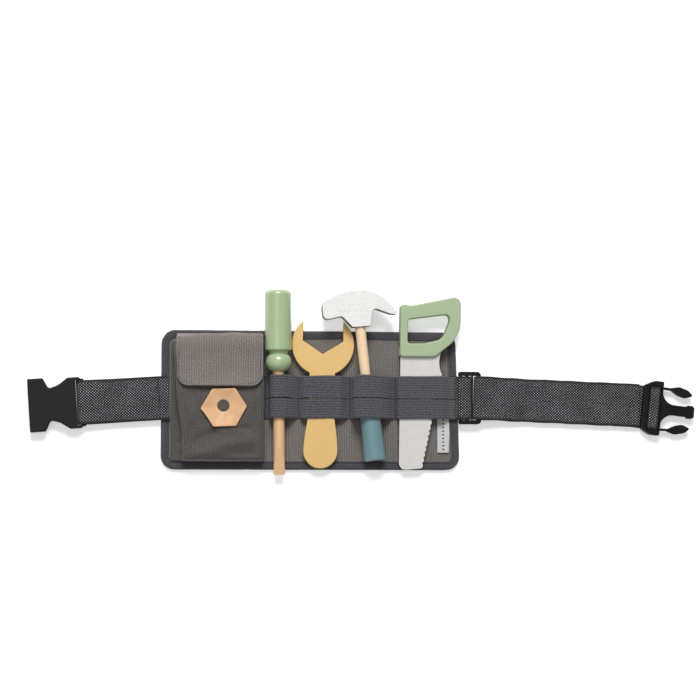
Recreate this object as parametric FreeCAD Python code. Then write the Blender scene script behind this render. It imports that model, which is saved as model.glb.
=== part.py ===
import FreeCAD, Part

import math
import os

from FreeCAD import Placement, Rotation, Vector

# A child's tool belt, lying flat with its front up: a padded canvas panel with a flap pocket, two
# elastic bands that hold four wooden tools, and a webbing strap with half a side-release buckle at
# each side.  Millimetres.  The origin is the centre of the panel's back face, +X runs along the
# belt to the plug, +Y to the tools' heads and +Z out of the front.

# Clearances and stock
GAP = 0.3                 # running gap between pieces that move apart
WEBBING_T = 1.5
WEBBING_W = 40.0
LAYER_GAP = 0.1           # between two layers of webbing that lie on each other

# Panel: lining, padding and face, held by a folded binding
PANEL_LEFT = -137.3
PANEL_RIGHT_LOW = 137.8
PANEL_RIGHT_TOP = 134.2
PANEL_HALF_H = 64.0
PANEL_CORNER_R = 13.0
LINING_T = 0.7
PADDING_T = 2.4
FACE_T = 0.8
BINDING_T = 0.7
BINDING_W = 8.0
FACE_TOP = LINING_T + PADDING_T + FACE_T
BINDING_TOP = FACE_TOP + BINDING_T

# Pocket and its flap
POCKET_CLOTH_T = 1.2
POCKET_FRONT_Z = 18.0
POCKET_LEFT_SEWN = -128.6
POCKET_RIGHT_SEWN = -43.9
POCKET_LOW_SEWN = -54.6
POCKET_TOP = 52.0
POCKET_FRONT_LEFT_LOW = -118.6
POCKET_FRONT_LEFT_TOP = -127.0
POCKET_FRONT_RIGHT = -45.2
POCKET_FRONT_LOW = -54.9
PATCH_T = 0.9
PATCH_X = (-99.0, -69.0)
PATCH_Y = (19.0, 35.0)
FLAP_T = 1.8
FLAP_Z = POCKET_FRONT_Z + 2 * PATCH_T + LAYER_GAP     # underside of the flap
FLAP_X = (-123.8, -45.3)
FLAP_LOW = 11.4
FLAP_FOLD_Y = 59.7
FLAP_CORNER_R = 11.0
RISER_T = 1.6
HEX_CENTRE = (-80.7, -8.1)
HEX_ACROSS_FLATS = 35.2
HEX_HOLE_R = 6.0
HEX_TURN = 2.5
HEX_T = 1.2

# Elastic bands: (low Y, high Y) and the tops of their four humps
ELASTIC_T = 1.0
UPPER_BAND = (1.6, 22.1)
LOWER_BAND = (-16.9, 1.2)
BAND_LEFT = -43.0
BAND_RIGHT = 133.8

# Screwdriver
DRIVER_AXIS_X = -30.55    # where the axis crosses Y = 0
DRIVER_AXIS_Z = 14.0
DRIVER_TURN = 0.88
DRIVER_TILT = 3.4
DRIVER_HANDLE_R = 12.25
DRIVER_HANDLE_Y = (25.7, 99.9)
DRIVER_SHAFT_R = 5.2
DRIVER_TIP_Y = -68.6
DRIVER_TIP_HALF_T = 1.4
DRIVER_BEVEL_Y = -44.0
DRIVER_SOCKET_DEPTH = 28.0

# Wrench
WRENCH_AXIS_X = 9.0
WRENCH_TURN = -1.39
WRENCH_T = 6.0
WRENCH_Z = BINDING_TOP + GAP
WRENCH_HEAD_R = 28.6
WRENCH_HEAD_Y = 50.6
WRENCH_JAW_HALF = 18.6
WRENCH_END_HALF = 15.65
WRENCH_NECK_HALF = 11.8
WRENCH_END_Y = -62.6

# Hammer, in its own frame: the end of the grip is at 0 and its axis is along +Y
HAMMER_ORIGIN = (57.6, -55.5, 14.4)
HAMMER_TURN = 6.5
HAMMER_TILT = 1.6
GRIP_END_R = 10.1
GRIP_TOP_R = 8.6
GRIP_LENGTH = 62.0
GRIP_CHAMFER = 1.4
HAMMER_SHAFT_R = 4.7
HAMMER_SHAFT_Y = (30.0, 138.0)
HAMMER_HEAD_T = 13.0

# Saw, in its own frame: its back is along X = 0
SAW_ORIGIN = (80.9, 0.0, 9.6)
SAW_TURN = -0.76
SAW_TILT = 1.9
SAW_BLADE_T = 5.0
SAW_HANDLE_T = 12.0
SAW_LOW_Y = -63.4
SAW_TEETH = 18
SAW_TOOTH_RISE = 1.25
SAW_TEETH_TOP = (37.6, 26.6)
SAW_TEETH_LOW = (20.4, -62.0)

# Webbing slider at the panel's right edge
SLIDER_X = (135.8, 157.0)
SLIDER_Y = (-21.6, 27.0)
SLIDER_RAIL_W = 3.8
SLIDER_RAIL_Z = (5.9, 9.9)
SLIDER_BAR_Z = (6.3, 9.5)
SLIDER_LEFT_BAR = (136.4, 139.6)
SLIDER_CENTRE_BAR = (141.9, 145.6)
SLIDER_RIB_LEFT = 147.75
SLIDER_RIB_RIGHT = (148.8, 149.7)       # at its low and high ends, along the strap's loop
SLIDER_RIGHT_BAR = (153.0, 157.0)
SLIDER_MID_Y = (SLIDER_Y[0] + SLIDER_Y[1]) / 2
BAR_CORNER_R = 1.4

# Straps: each frame starts at the strap's swing axis and its X runs outwards
LEFT_STRAP_ORIGIN = (-140.4, 0.8, 0.0)
LEFT_STRAP_HEADING = 183.6
LEFT_STRAP_SEWN = 10.2    # length of webbing sewn to the panel
FOLD_ROOM = 2.2           # between the sewn webbing and the length that folds
LEFT_BAR_X = 67.4
RIGHT_STRAP_ORIGIN = (155.0, 2.7, 0.0)
RIGHT_STRAP_HEADING = -2.2
RIGHT_STRAP_END = 151.7
RIGHT_BAR_Z = (SLIDER_BAR_Z[0] + SLIDER_BAR_Z[1]) / 2
SPARE_LENGTH = 77.0       # webbing that slides out from under the strap
SPARE_END = 148.0
TAIL_LENGTH = 20.0

# Socket half of the buckle: its frame starts at the middle of its strap bar
SOCKET_ORIGIN = (-207.7, -3.45, 5.75)
SOCKET_HEADING = 184.2
SOCKET_T = 11.5
SOCKET_MOUTH_X = 48.3
SOCKET_MOUTH_HALF = 24.1
SOCKET_EDGE_X = 5.6
SOCKET_CAVITY_X = 16.0
SOCKET_CAVITY_HALF = 22.1
SOCKET_CAVITY_T = 6.6
SOCKET_RIB_Y = 7.2
SOCKET_RIB_T = 1.4

# Plug half of the buckle: its frame starts at the middle of its front edge
PLUG_ORIGIN = (327.2, -6.1, 0.0)
PLUG_HEADING = -6.6
PLUG_HALF_W = 25.25
PLUG_REAR_X = -18.4
PLUG_Z = (0.3, 9.8)
PLUG_WINDOW_HALF = 20.6
PLUG_BAR_1 = (-18.2, -12.0)
PLUG_BAR_1_Z = (3.4, 8.5)
PLUG_BAR_2 = (-9.4, -4.0)
PLUG_BAR_2_Z = (3.5, 7.4)
PLUG_FRONT_STRIP = 1.6
PRONG_Z = (2.3, 7.8)
GUIDE_HALF_W = 4.75
GUIDE_TIP_HALF_W = 6.0
GUIDE_LENGTH = 31.5
PRONG_ROOT_Y = 19.4
PRONG_ARM_T = 2.0
PRONG_GAP = 0.3


def unit(vector):
    return vector * (1.0 / vector.Length)


def rounded_edges(points):
    """Edges of a closed outline whose points are (x, y) or (x, y, corner radius)."""
    corners = [Vector(p[0], p[1], 0) for p in points]
    radii = [p[2] if len(p) > 2 else 0.0 for p in points]
    count = len(points)
    arcs = []
    for i in range(count):
        corner = corners[i]
        back = unit(corners[i - 1] - corner)
        ahead = unit(corners[(i + 1) % count] - corner)
        if radii[i] <= 0:
            arcs.append((corner, None, corner))
            continue
        half = back.getAngle(ahead) / 2
        cut = radii[i] / math.tan(half)
        bisector = unit(back + ahead)
        middle = corner + bisector * (radii[i] / math.sin(half) - radii[i])
        arcs.append((corner + back * cut, middle, corner + ahead * cut))
    edges = []
    for i in range(count):
        start, middle, end = arcs[i]
        if middle is not None:
            edges.append(Part.Arc(start, middle, end).toShape())
        following = arcs[(i + 1) % count][0]
        if end.distanceToPoint(following) > 1e-6:
            edges.append(Part.LineSegment(end, following).toShape())
    return edges


def plate(points, low, high):
    """A flat plate with a rounded outline, between two heights."""
    face = Part.Face(Part.Wire(rounded_edges(points)))
    solid = face.extrude(Vector(0, 0, high - low))
    solid.translate(Vector(0, 0, low))
    return solid


def block(x, y, z):
    """A block between the two X, the two Y and the two Z values."""
    return Part.makeBox(x[1] - x[0], y[1] - y[0], z[1] - z[0], Vector(x[0], y[0], z[0]))


def grown(points, distance):
    """An anticlockwise outline moved outwards by distance, its corner radii with it."""
    count = len(points)
    result = []
    for i in range(count):
        corner = Vector(points[i][0], points[i][1], 0)
        before = Vector(points[i - 1][0], points[i - 1][1], 0)
        after = Vector(points[(i + 1) % count][0], points[(i + 1) % count][1], 0)
        first = unit(corner - before)
        second = unit(after - corner)
        normal_1 = Vector(first.y, -first.x, 0)
        normal_2 = Vector(second.y, -second.x, 0)
        mitre = (normal_1 + normal_2) * (distance / (1 + normal_1.dot(normal_2)))
        turns_left = first.x * second.y - first.y * second.x > 0
        radius = points[i][2] if len(points[i]) > 2 else 0.0
        radius = radius + distance if turns_left else radius - distance
        result.append((corner.x + mitre.x, corner.y + mitre.y, max(radius, 0.0)))
    return result


def ribbon(path, thickness, y_low, y_high):
    """A strip of even thickness along a path of (x, z) or (x, z, bend radius) points."""
    points = [Vector(p[0], p[1], 0) for p in path]
    radii = [p[2] if len(p) > 2 else 0.0 for p in path]
    half = thickness / 2
    sides = []
    for side in (1, -1):
        row = []
        for i in range(len(points)):
            first = unit(points[i] - points[i - 1]) if i > 0 else None
            second = unit(points[i + 1] - points[i]) if i + 1 < len(points) else None
            first = first or second
            second = second or first
            normal_1 = Vector(-first.y, first.x, 0)
            normal_2 = Vector(-second.y, second.x, 0)
            mitre = (normal_1 + normal_2) * (side * half / (1 + normal_1.dot(normal_2)))
            turn = first.x * second.y - first.y * second.x
            inside = turn * side > 0
            radius = radii[i] - half if inside else radii[i] + half
            radius = max(radius, 0.0) if abs(turn) > 1e-9 and radii[i] > 0 else 0.0
            row.append((points[i].x + mitre.x, points[i].y + mitre.y, radius))
        sides.append(row)
    strip = plate(sides[0] + sides[1][::-1], -y_high, -y_low)
    strip.rotate(Vector(0, 0, 0), Vector(1, 0, 0), 90)
    return strip


def bar(x, z, y_low, y_high):
    """A bar along Y with rounded long edges."""
    section = [(x[0], z[0], BAR_CORNER_R), (x[1], z[0], BAR_CORNER_R),
               (x[1], z[1], BAR_CORNER_R), (x[0], z[1], BAR_CORNER_R)]
    solid = plate(section, -y_high, -y_low)
    solid.rotate(Vector(0, 0, 0), Vector(1, 0, 0), 90)
    return solid


def turned(edges):
    """A solid turned about the Y axis from edges that start and end on it."""
    ends = [edges[0].firstVertex().Point, edges[-1].lastVertex().Point]
    closing = Part.LineSegment(ends[1], ends[0]).toShape()
    face = Part.Face(Part.Wire(edges + [closing]))
    return face.revolve(Vector(0, 0, 0), Vector(0, 1, 0), 360)


def line(a, b):
    return Part.LineSegment(Vector(a[0], a[1], 0), Vector(b[0], b[1], 0)).toShape()


def arc(a, b, c):
    return Part.Arc(Vector(a[0], a[1], 0), Vector(b[0], b[1], 0), Vector(c[0], c[1], 0)).toShape()


def rod(radius, y_low, y_high):
    return Part.makeCylinder(radius, y_high - y_low, Vector(0, y_low, 0), Vector(0, 1, 0))


def softened(solid, radius, low, high):
    """The plate with the edges of its two flat faces rounded."""
    rims = []
    for edge in solid.Edges:
        heights = [v.Point.z for v in edge.Vertexes]
        if all(abs(z - low) < 1e-6 for z in heights) or all(abs(z - high) < 1e-6 for z in heights):
            rims.append(edge)
    return solid.makeFillet(radius, rims)


def placed(solid, origin, heading, tilt=0.0):
    """The solid moved from its own frame: raised by tilt about X, turned by heading about Z."""
    turn = Rotation(Vector(0, 0, 1), heading)
    rise = Rotation(Vector(1, 0, 0), tilt)
    moved = solid.copy()
    moved.Placement = Placement(Vector(*origin), turn.multiply(rise)).multiply(solid.Placement)
    return moved


def mirrored_outline(half):
    """A closed outline from its lower half, given from left to right, and its mirror in Y = 0."""
    top = [(p[0], -p[1]) + tuple(p[2:]) for p in reversed(half)]
    return half + top


def panel_outline():
    return [(PANEL_LEFT, -PANEL_HALF_H, PANEL_CORNER_R),
            (PANEL_RIGHT_LOW, -PANEL_HALF_H, PANEL_CORNER_R),
            (PANEL_RIGHT_TOP, PANEL_HALF_H, PANEL_CORNER_R),
            (PANEL_LEFT, PANEL_HALF_H, PANEL_CORNER_R)]


def panel():
    outline = panel_outline()
    inside = grown(outline, -BINDING_T)
    window = grown(outline, -BINDING_W)
    padding_top = LINING_T + PADDING_T
    binding = plate(outline, 0, BINDING_TOP)
    binding = binding.cut(plate(inside, LINING_T, FACE_TOP))
    binding = binding.cut(plate(window, -1, BINDING_TOP + 1))
    return {
        "panel_lining": plate(window, 0, LINING_T),
        "panel_padding": plate(inside, LINING_T, padding_top),
        "panel_face": plate(inside, padding_top, FACE_TOP),
        "edge_binding": binding,
    }


def pocket_section(inset, top, height):
    """The pocket's outline at one height: sewn edge at 0, front face at 1."""
    def between(sewn, front):
        return sewn + (front - sewn) * height
    left_low = between(POCKET_LEFT_SEWN, POCKET_FRONT_LEFT_LOW) + inset
    left_top = between(POCKET_LEFT_SEWN, POCKET_FRONT_LEFT_TOP) + inset
    right = between(POCKET_RIGHT_SEWN, POCKET_FRONT_RIGHT) - inset
    low = between(POCKET_LOW_SEWN, POCKET_FRONT_LOW) + inset
    z = BINDING_TOP + (POCKET_FRONT_Z - BINDING_TOP) * height
    corners = [Vector(left_low, low, z), Vector(right, low, z), Vector(right, top, z),
               Vector(left_top, top, z)]
    return Part.makePolygon(corners + corners[:1])


def pocket():
    outer = Part.makeLoft([pocket_section(0, POCKET_TOP, 0), pocket_section(0, POCKET_TOP, 1)],
                          True, True)
    depth = POCKET_FRONT_Z - BINDING_TOP
    front = 1 - POCKET_CLOTH_T / depth
    below = -1 / depth
    inner = Part.makeLoft([pocket_section(POCKET_CLOTH_T, POCKET_TOP + 5, below),
                           pocket_section(POCKET_CLOTH_T, POCKET_TOP + 5, front)], True, True)
    shell = outer.cut(inner)
    loop_patch = block(PATCH_X, PATCH_Y, (POCKET_FRONT_Z, POCKET_FRONT_Z + PATCH_T))
    return {"pocket": shell, "pocket_loop_patch": loop_patch, "hex_patch": hex_patch()}


def hex_patch():
    corner_r = HEX_ACROSS_FLATS / math.sqrt(3)
    corners = []
    for i in range(6):
        angle = math.radians(60 * i)
        corners.append((corner_r * math.cos(angle), corner_r * math.sin(angle), 0.8))
    patch = plate(corners, 0, HEX_T)
    patch = patch.cut(Part.makeCylinder(HEX_HOLE_R, HEX_T + 2, Vector(0, 0.6, -1)))
    return placed(patch, (HEX_CENTRE[0], HEX_CENTRE[1], POCKET_FRONT_Z), HEX_TURN)


def flap():
    """The riser is sewn to the panel's top edge; the flap hangs from the fold at its top."""
    fold_gap = FLAP_FOLD_Y - RISER_T
    riser = block((FLAP_X[0] + 1, FLAP_X[1] - 1), (fold_gap, FLAP_FOLD_Y),
                  (BINDING_TOP + GAP, FLAP_Z - GAP))
    outline = [(FLAP_X[0], FLAP_LOW, FLAP_CORNER_R), (FLAP_X[1], FLAP_LOW, FLAP_CORNER_R),
               (FLAP_X[1], FLAP_FOLD_Y, 3.0), (FLAP_X[0], FLAP_FOLD_Y, 3.0)]
    cover = plate(outline, FLAP_Z, FLAP_Z + FLAP_T)
    hook_patch = block(PATCH_X, PATCH_Y, (FLAP_Z - PATCH_T, FLAP_Z))
    return {"flap_riser": riser, "pocket_flap": cover, "flap_hook_patch": hook_patch}


def elastic_band(span, driver_top, hammer_top, saw_top):
    """A band sewn to the face between the tools, with a hump over each one."""
    base = FACE_TOP + ELASTIC_T / 2
    half = ELASTIC_T / 2
    wrench_top = WRENCH_Z + WRENCH_T + GAP + half
    strap_top = BINDING_TOP + 2 * WEBBING_T + LAYER_GAP + 0.1 + half
    path = [
        (BAND_LEFT, base), (-38.6, base, 1.0),
        (-37.2, driver_top + half, 4.5), (-25.4, driver_top + half, 4.5), (-12.9, base, 3.0),
        (-8.6, base, 0.8), (-8.0, wrench_top, 1.6),
        (26.2, wrench_top, 1.6), (26.8, base, 0.8),
        (36.6, base, 1.5), (39.0, hammer_top + half, 7.5), (58.0, hammer_top + half, 8.0),
        (75.2, base, 3.0),
        (79.0, base, 0.8), (79.8, saw_top + half, 1.6),
        (119.3, saw_top + half, 3.0), (126.6, strap_top, 3.0), (BAND_RIGHT, strap_top),
    ]
    return ribbon(path, ELASTIC_T, span[0], span[1])


def bands():
    return {
        "upper_elastic": elastic_band(UPPER_BAND, 21.0, 27.2, 13.3),
        "lower_elastic": elastic_band(LOWER_BAND, 19.8, 26.6, 12.6),
    }


def side_label():
    """A folded ribbon whose top is caught under the lower band."""
    outline = [(116.6, -47.8), (127.0, -47.8), (127.9, -30.0), (127.4, -14.3), (116.6, -14.3)]
    return plate(outline, FACE_TOP + 0.05, FACE_TOP + 0.85)


def screwdriver():
    low, high = DRIVER_HANDLE_Y
    r = DRIVER_HANDLE_R
    edge_r = 4.6
    profile = [
        line((0, low), (6.4, low)),
        arc((6.4, low), (11.7, low + 7.4), (8.5, low + 15.4)),
        arc((8.5, low + 15.4), (9.2, low + 17.6), (r - 0.9, low + 19.0)),
        arc((r - 0.9, low + 19.0), (r - 0.2, low + 19.5), (r, low + 20.4)),
        line((r, low + 20.4), (r, high - edge_r)),
        arc((r, high - edge_r), (r - 1.35, high - 1.35), (r - edge_r, high)),
        line((r - edge_r, high), (0, high)),
    ]
    shaft_end = low + DRIVER_SOCKET_DEPTH
    shaft = rod(DRIVER_SHAFT_R, DRIVER_TIP_Y, shaft_end)
    for side in (1, -1):
        wedge = [(DRIVER_BEVEL_Y, side * (DRIVER_SHAFT_R + 0.01)),
                 (DRIVER_TIP_Y - 1, side * (DRIVER_TIP_HALF_T - 0.15)),
                 (DRIVER_TIP_Y - 1, side * 9.0), (DRIVER_BEVEL_Y, side * 9.0)]
        cutter = plate(wedge, -8, 8)
        cutter.rotate(Vector(0, 0, 0), Vector(0, 0, 1), 90)
        cutter.rotate(Vector(0, 0, 0), Vector(0, 1, 0), 90)
        shaft = shaft.cut(cutter)
    handle = turned(profile).cut(rod(DRIVER_SHAFT_R + 0.03, low - 1, shaft_end + 0.1))
    origin = (DRIVER_AXIS_X, 0, DRIVER_AXIS_Z)
    return {
        "screwdriver_handle": placed(handle, origin, DRIVER_TURN, DRIVER_TILT),
        "screwdriver_shaft": placed(shaft, origin, DRIVER_TURN, DRIVER_TILT),
    }


def wrench():
    """A flat wrench with a round head and a pointed notch, drawn up its right side and mirrored."""
    half = WRENCH_END_HALF
    end_y = WRENCH_END_Y + half
    neck = WRENCH_NECK_HALF
    neck_y = WRENCH_HEAD_Y - math.sqrt(WRENCH_HEAD_R ** 2 - neck ** 2)
    jaw = WRENCH_JAW_HALF
    tip_y = WRENCH_HEAD_Y + math.sqrt(WRENCH_HEAD_R ** 2 - jaw ** 2)
    side = Part.BSplineCurve()
    side.interpolate(Points=[Vector(half, end_y, 0), Vector(12.4, -17, 0), Vector(neck, neck_y, 0)],
                     InitialTangent=Vector(0, 1, 0), FinalTangent=Vector(0, 1, 0))
    right = [side.toShape(),
             arc((neck, neck_y), (WRENCH_HEAD_R, WRENCH_HEAD_Y), (jaw, tip_y)),
             line((jaw, tip_y), (jaw, 54.0)),
             line((jaw, 54.0), (0, 42.0))]
    left = [edge.mirror(Vector(0, 0, 0), Vector(1, 0, 0)) for edge in right]
    end = arc((-half, end_y), (0, WRENCH_END_Y), (half, end_y))
    outline = Part.Wire(Part.__sortEdges__([end] + right + left))
    solid = Part.Face(outline).extrude(Vector(0, 0, WRENCH_T))
    solid = softened(solid, 0.7, 0, WRENCH_T)
    return {"wrench": placed(solid, (WRENCH_AXIS_X, 0, WRENCH_Z), WRENCH_TURN)}


def hammer():
    half = HAMMER_HEAD_T / 2
    head = plate([
        (-33.2, 131.9, 4.5), (-16.2, 133.9, 3.5), (-7.6, 122.9, 2.2), (9.3, 122.4, 2.6),
        (12.7, 139.0, 3.6), (28.3, 131.6, 3.0), (35.6, 130.2, 1.4), (27.5, 144.0, 30.0),
        (12.6, 155.6, 28.0), (-9.0, 157.2, 50.0), (-33.6, 148.9, 10.0),
    ], -half, half)
    head = softened(head, 0.8, -half, half)
    shaft = rod(HAMMER_SHAFT_R, HAMMER_SHAFT_Y[0], HAMMER_SHAFT_Y[1])
    head = head.cut(rod(HAMMER_SHAFT_R + 0.03, 110, HAMMER_SHAFT_Y[1] + 0.1))
    grip = turned([
        line((0, 0), (GRIP_END_R - GRIP_CHAMFER, 0)),
        line((GRIP_END_R - GRIP_CHAMFER, 0), (GRIP_END_R, GRIP_CHAMFER)),
        line((GRIP_END_R, GRIP_CHAMFER), (GRIP_TOP_R, GRIP_LENGTH - 2)),
        line((GRIP_TOP_R, GRIP_LENGTH - 2), (GRIP_TOP_R - 2, GRIP_LENGTH)),
        line((GRIP_TOP_R - 2, GRIP_LENGTH), (0, GRIP_LENGTH)),
    ])
    grip = grip.cut(rod(HAMMER_SHAFT_R + 0.03, HAMMER_SHAFT_Y[0] - 0.1, GRIP_LENGTH + 1))
    parts = {"hammer_head": head, "hammer_shaft": shaft, "hammer_grip": grip}
    return {name: placed(solid, HAMMER_ORIGIN, HAMMER_TURN, HAMMER_TILT)
            for name, solid in parts.items()}


def saw_teeth():
    """Round-topped teeth along the blade's cutting edge, from the toe up."""
    low, top = Vector(*SAW_TEETH_LOW, 0), Vector(*SAW_TEETH_TOP, 0)
    step = (top - low) * (1.0 / SAW_TEETH)
    out = unit(Vector(step.y, -step.x, 0)) * SAW_TOOTH_RISE
    return [arc(low + step * i, low + step * (i + 0.5) + out, low + step * (i + 1))
            for i in range(SAW_TEETH)]


def saw():
    heel_r = 6.4
    toe = SAW_TEETH_LOW
    blade_top = 50.0
    edges = [
        line((heel_r, SAW_LOW_Y), toe),
        *saw_teeth(),
        arc(SAW_TEETH_TOP, (36.1, 33.5), (37.3, 44.4)),
        line((37.3, 44.4), (32.0, blade_top)),
        line((32.0, blade_top), (0, blade_top)),
        line((0, blade_top), (0, SAW_LOW_Y + heel_r)),
        arc((0, SAW_LOW_Y + heel_r), (heel_r * (1 - math.sqrt(0.5)),
                                      SAW_LOW_Y + heel_r * (1 - math.sqrt(0.5))),
            (heel_r, SAW_LOW_Y)),
    ]
    half = SAW_BLADE_T / 2
    blade = Part.Face(Part.Wire(edges)).extrude(Vector(0, 0, SAW_BLADE_T))
    blade.translate(Vector(0, 0, -half))
    slot = plate([(-5, 20.0), (60, 20.0), (60, blade_top + 0.1), (-5, blade_top + 0.1)],
                 -half - 0.03, half + 0.03)
    half = SAW_HANDLE_T / 2
    handle = plate([
        (-1.0, 40.0, 3.0), (31.5, 40.4, 10.0), (47.5, 53.6, 14.0), (54.9, 66.0, 25.0),
        (55.2, 97.3, 6.5), (8.6, 87.1, 5.0), (-1.0, 89.0, 3.5),
    ], -half, half)
    hand_hole = plate([
        (6.1, 52.4, 2.6), (21.0, 52.6, 20.0), (38.5, 57.0, 12.0), (44.6, 73.0, 9.0),
        (44.9, 80.0, 3.6), (6.1, 74.5, 3.2),
    ], -half - 1, half + 1)
    handle = softened(handle.cut(hand_hole), 1.2, -half, half).cut(slot)
    parts = {"saw_blade": blade, "saw_handle": handle}
    return {name: placed(solid, SAW_ORIGIN, SAW_TURN, SAW_TILT) for name, solid in parts.items()}


def slider():
    """A ladder of two rails and three bars, with a thin rib between its two loops of webbing."""
    outline = [(SLIDER_X[0], SLIDER_Y[0], 2.0), (SLIDER_X[1], SLIDER_Y[0], 4.0),
               (SLIDER_X[1], SLIDER_Y[1], 4.0), (SLIDER_X[0], SLIDER_Y[1], 2.0)]
    rails = softened(plate(outline, *SLIDER_RAIL_Z), 0.9, *SLIDER_RAIL_Z)
    inner_low = SLIDER_Y[0] + SLIDER_RAIL_W
    inner_high = SLIDER_Y[1] - SLIDER_RAIL_W
    solid = rails.cut(block((SLIDER_X[0] - 1, SLIDER_X[1] + 1), (inner_low, inner_high), (0, 20)))
    for x in (SLIDER_LEFT_BAR, SLIDER_CENTRE_BAR, SLIDER_RIGHT_BAR):
        solid = solid.fuse(bar(x, SLIDER_BAR_Z, inner_low - 1.5, inner_high + 1.5))
    rib = plate([(SLIDER_RIB_LEFT, inner_low - 1), (SLIDER_RIB_RIGHT[0], inner_low - 1),
                 (SLIDER_RIB_RIGHT[1], inner_high + 1), (SLIDER_RIB_LEFT, inner_high + 1)], *SLIDER_BAR_Z)
    return solid.fuse(rib)


def right_tab():
    """Webbing sewn to the panel that goes over two bars of the slider and back under them."""
    upper = BINDING_TOP + 1.5 * WEBBING_T + LAYER_GAP
    lower = BINDING_TOP + WEBBING_T / 2
    over = SLIDER_BAR_Z[1] + 0.15 + WEBBING_T / 2
    turn_x = SLIDER_CENTRE_BAR[1] + GAP + WEBBING_T / 2
    path = [(128.4, upper), (134.9, upper, 1.2), (135.9, over, 1.6), (turn_x, over, 1.3),
            (turn_x, lower, 1.3), (129.4, lower)]
    return ribbon(path, WEBBING_T, SLIDER_MID_Y - WEBBING_W / 2, SLIDER_MID_Y + WEBBING_W / 2)


def left_strap():
    """Doubled webbing from the panel round the socket's bar."""
    half = WEBBING_W / 2
    lower = BINDING_TOP + WEBBING_T / 2
    upper = lower + WEBBING_T + LAYER_GAP
    anchor = block((-LEFT_STRAP_SEWN, -0.15), (-half, half),
                   (BINDING_TOP, BINDING_TOP + 2 * WEBBING_T + LAYER_GAP))
    turn_x = LEFT_BAR_X + 4.3
    centre = SOCKET_ORIGIN[2]
    path = [(FOLD_ROOM, upper), (38.0, upper, 60.0), (turn_x, centre + 3.4, 3.0),
            (turn_x, centre - 3.4, 3.0), (38.0, lower, 60.0), (FOLD_ROOM, lower)]
    strap = ribbon(path, WEBBING_T, -half, half)
    return {
        "left_strap_anchor": placed(anchor, LEFT_STRAP_ORIGIN, LEFT_STRAP_HEADING),
        "left_strap": placed(strap, LEFT_STRAP_ORIGIN, LEFT_STRAP_HEADING),
    }


def buckle_socket():
    """A flat shell, open at its mouth and at both sides of its waist, with a bar for the strap."""
    half = SOCKET_T / 2
    rail_inner = WEBBING_W / 2 + 0.6
    outline = mirrored_outline([
        (-2.2, -18.8, 1.0), (2.2, -23.1, 3.0), (12.3, -23.1, 3.0), (20.9, -17.0, 12.0),
        (29.6, -14.2, 3.0), (34.3, -SOCKET_MOUTH_HALF, 2.0),
        (SOCKET_MOUTH_X, -SOCKET_MOUTH_HALF, 1.0),
    ])
    body = softened(plate(outline, -half, half), 1.3, -half, half)
    cavity_half_t = SOCKET_CAVITY_T / 2
    body = body.cut(block((SOCKET_CAVITY_X, SOCKET_MOUTH_X + 5),
                          (-SOCKET_CAVITY_HALF, SOCKET_CAVITY_HALF),
                          (-cavity_half_t, cavity_half_t)))
    for side in (1, -1):
        y = side * SOCKET_RIB_Y
        body = body.fuse(block((SOCKET_CAVITY_X - 1, 35.0),
                               (y - SOCKET_RIB_T / 2, y + SOCKET_RIB_T / 2),
                               (-cavity_half_t - 0.5, cavity_half_t + 0.5)))
    body = body.cut(block((-5, SOCKET_EDGE_X), (-rail_inner, rail_inner), (-half - 1, half + 1)))
    for z in ((-half - 1, -3.4), (3.4, half + 1)):
        body = body.cut(block((-5, 2.5), (-30, 30), z))
    body = body.fuse(bar((-2.0, 2.0), (-1.6, 1.6), -rail_inner - 1.0, rail_inner + 1.0))
    return placed(body.removeSplitter(), SOCKET_ORIGIN, SOCKET_HEADING)


def right_strap():
    """The front layer from the plug's side goes round the slider's bar and back underneath."""
    half = WEBBING_W / 2
    pitch = WEBBING_T + LAYER_GAP
    tail = WEBBING_T / 2
    spare = tail + pitch
    back = spare + pitch
    front = back + pitch
    turn_x = -4.3
    path = [(RIGHT_STRAP_END, front), (44.0, front, 60.0), (turn_x, RIGHT_BAR_Z + 4.1, 3.4),
            (turn_x, RIGHT_BAR_Z - 3.7, 3.4), (40.0, back, 60.0), (RIGHT_STRAP_END - 2.8, back)]
    strap = ribbon(path, WEBBING_T, -half, half)
    extension = block((SPARE_END - SPARE_LENGTH, SPARE_END), (-half, half),
                      (spare - WEBBING_T / 2, spare + WEBBING_T / 2))
    tail_end = block((SPARE_END - TAIL_LENGTH, SPARE_END), (-half, half), (0, WEBBING_T))
    return {
        "right_strap": placed(strap, RIGHT_STRAP_ORIGIN, RIGHT_STRAP_HEADING),
        "strap_extension": placed(extension, RIGHT_STRAP_ORIGIN, RIGHT_STRAP_HEADING),
        "strap_tail": placed(tail_end, RIGHT_STRAP_ORIGIN, RIGHT_STRAP_HEADING),
    }


def plug_loop():
    """Webbing that passes under the plug's first bar, over its second and back."""
    half = WEBBING_W / 2
    spare = 1.5 * WEBBING_T + LAYER_GAP
    rise_x = PLUG_BAR_2[0] - 1.2
    drop_x = PLUG_BAR_2[1] + 1.2
    over = PLUG_BAR_2_Z[1] + 0.3 + WEBBING_T / 2
    start = PLUG_REAR_X + 0.9
    path = [(start, spare), (rise_x, spare, 1.0), (rise_x, over, 1.6), (drop_x, over, 1.6),
            (drop_x, WEBBING_T / 2, 1.0), (start, WEBBING_T / 2)]
    return ribbon(path, WEBBING_T, -half, half)


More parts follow.
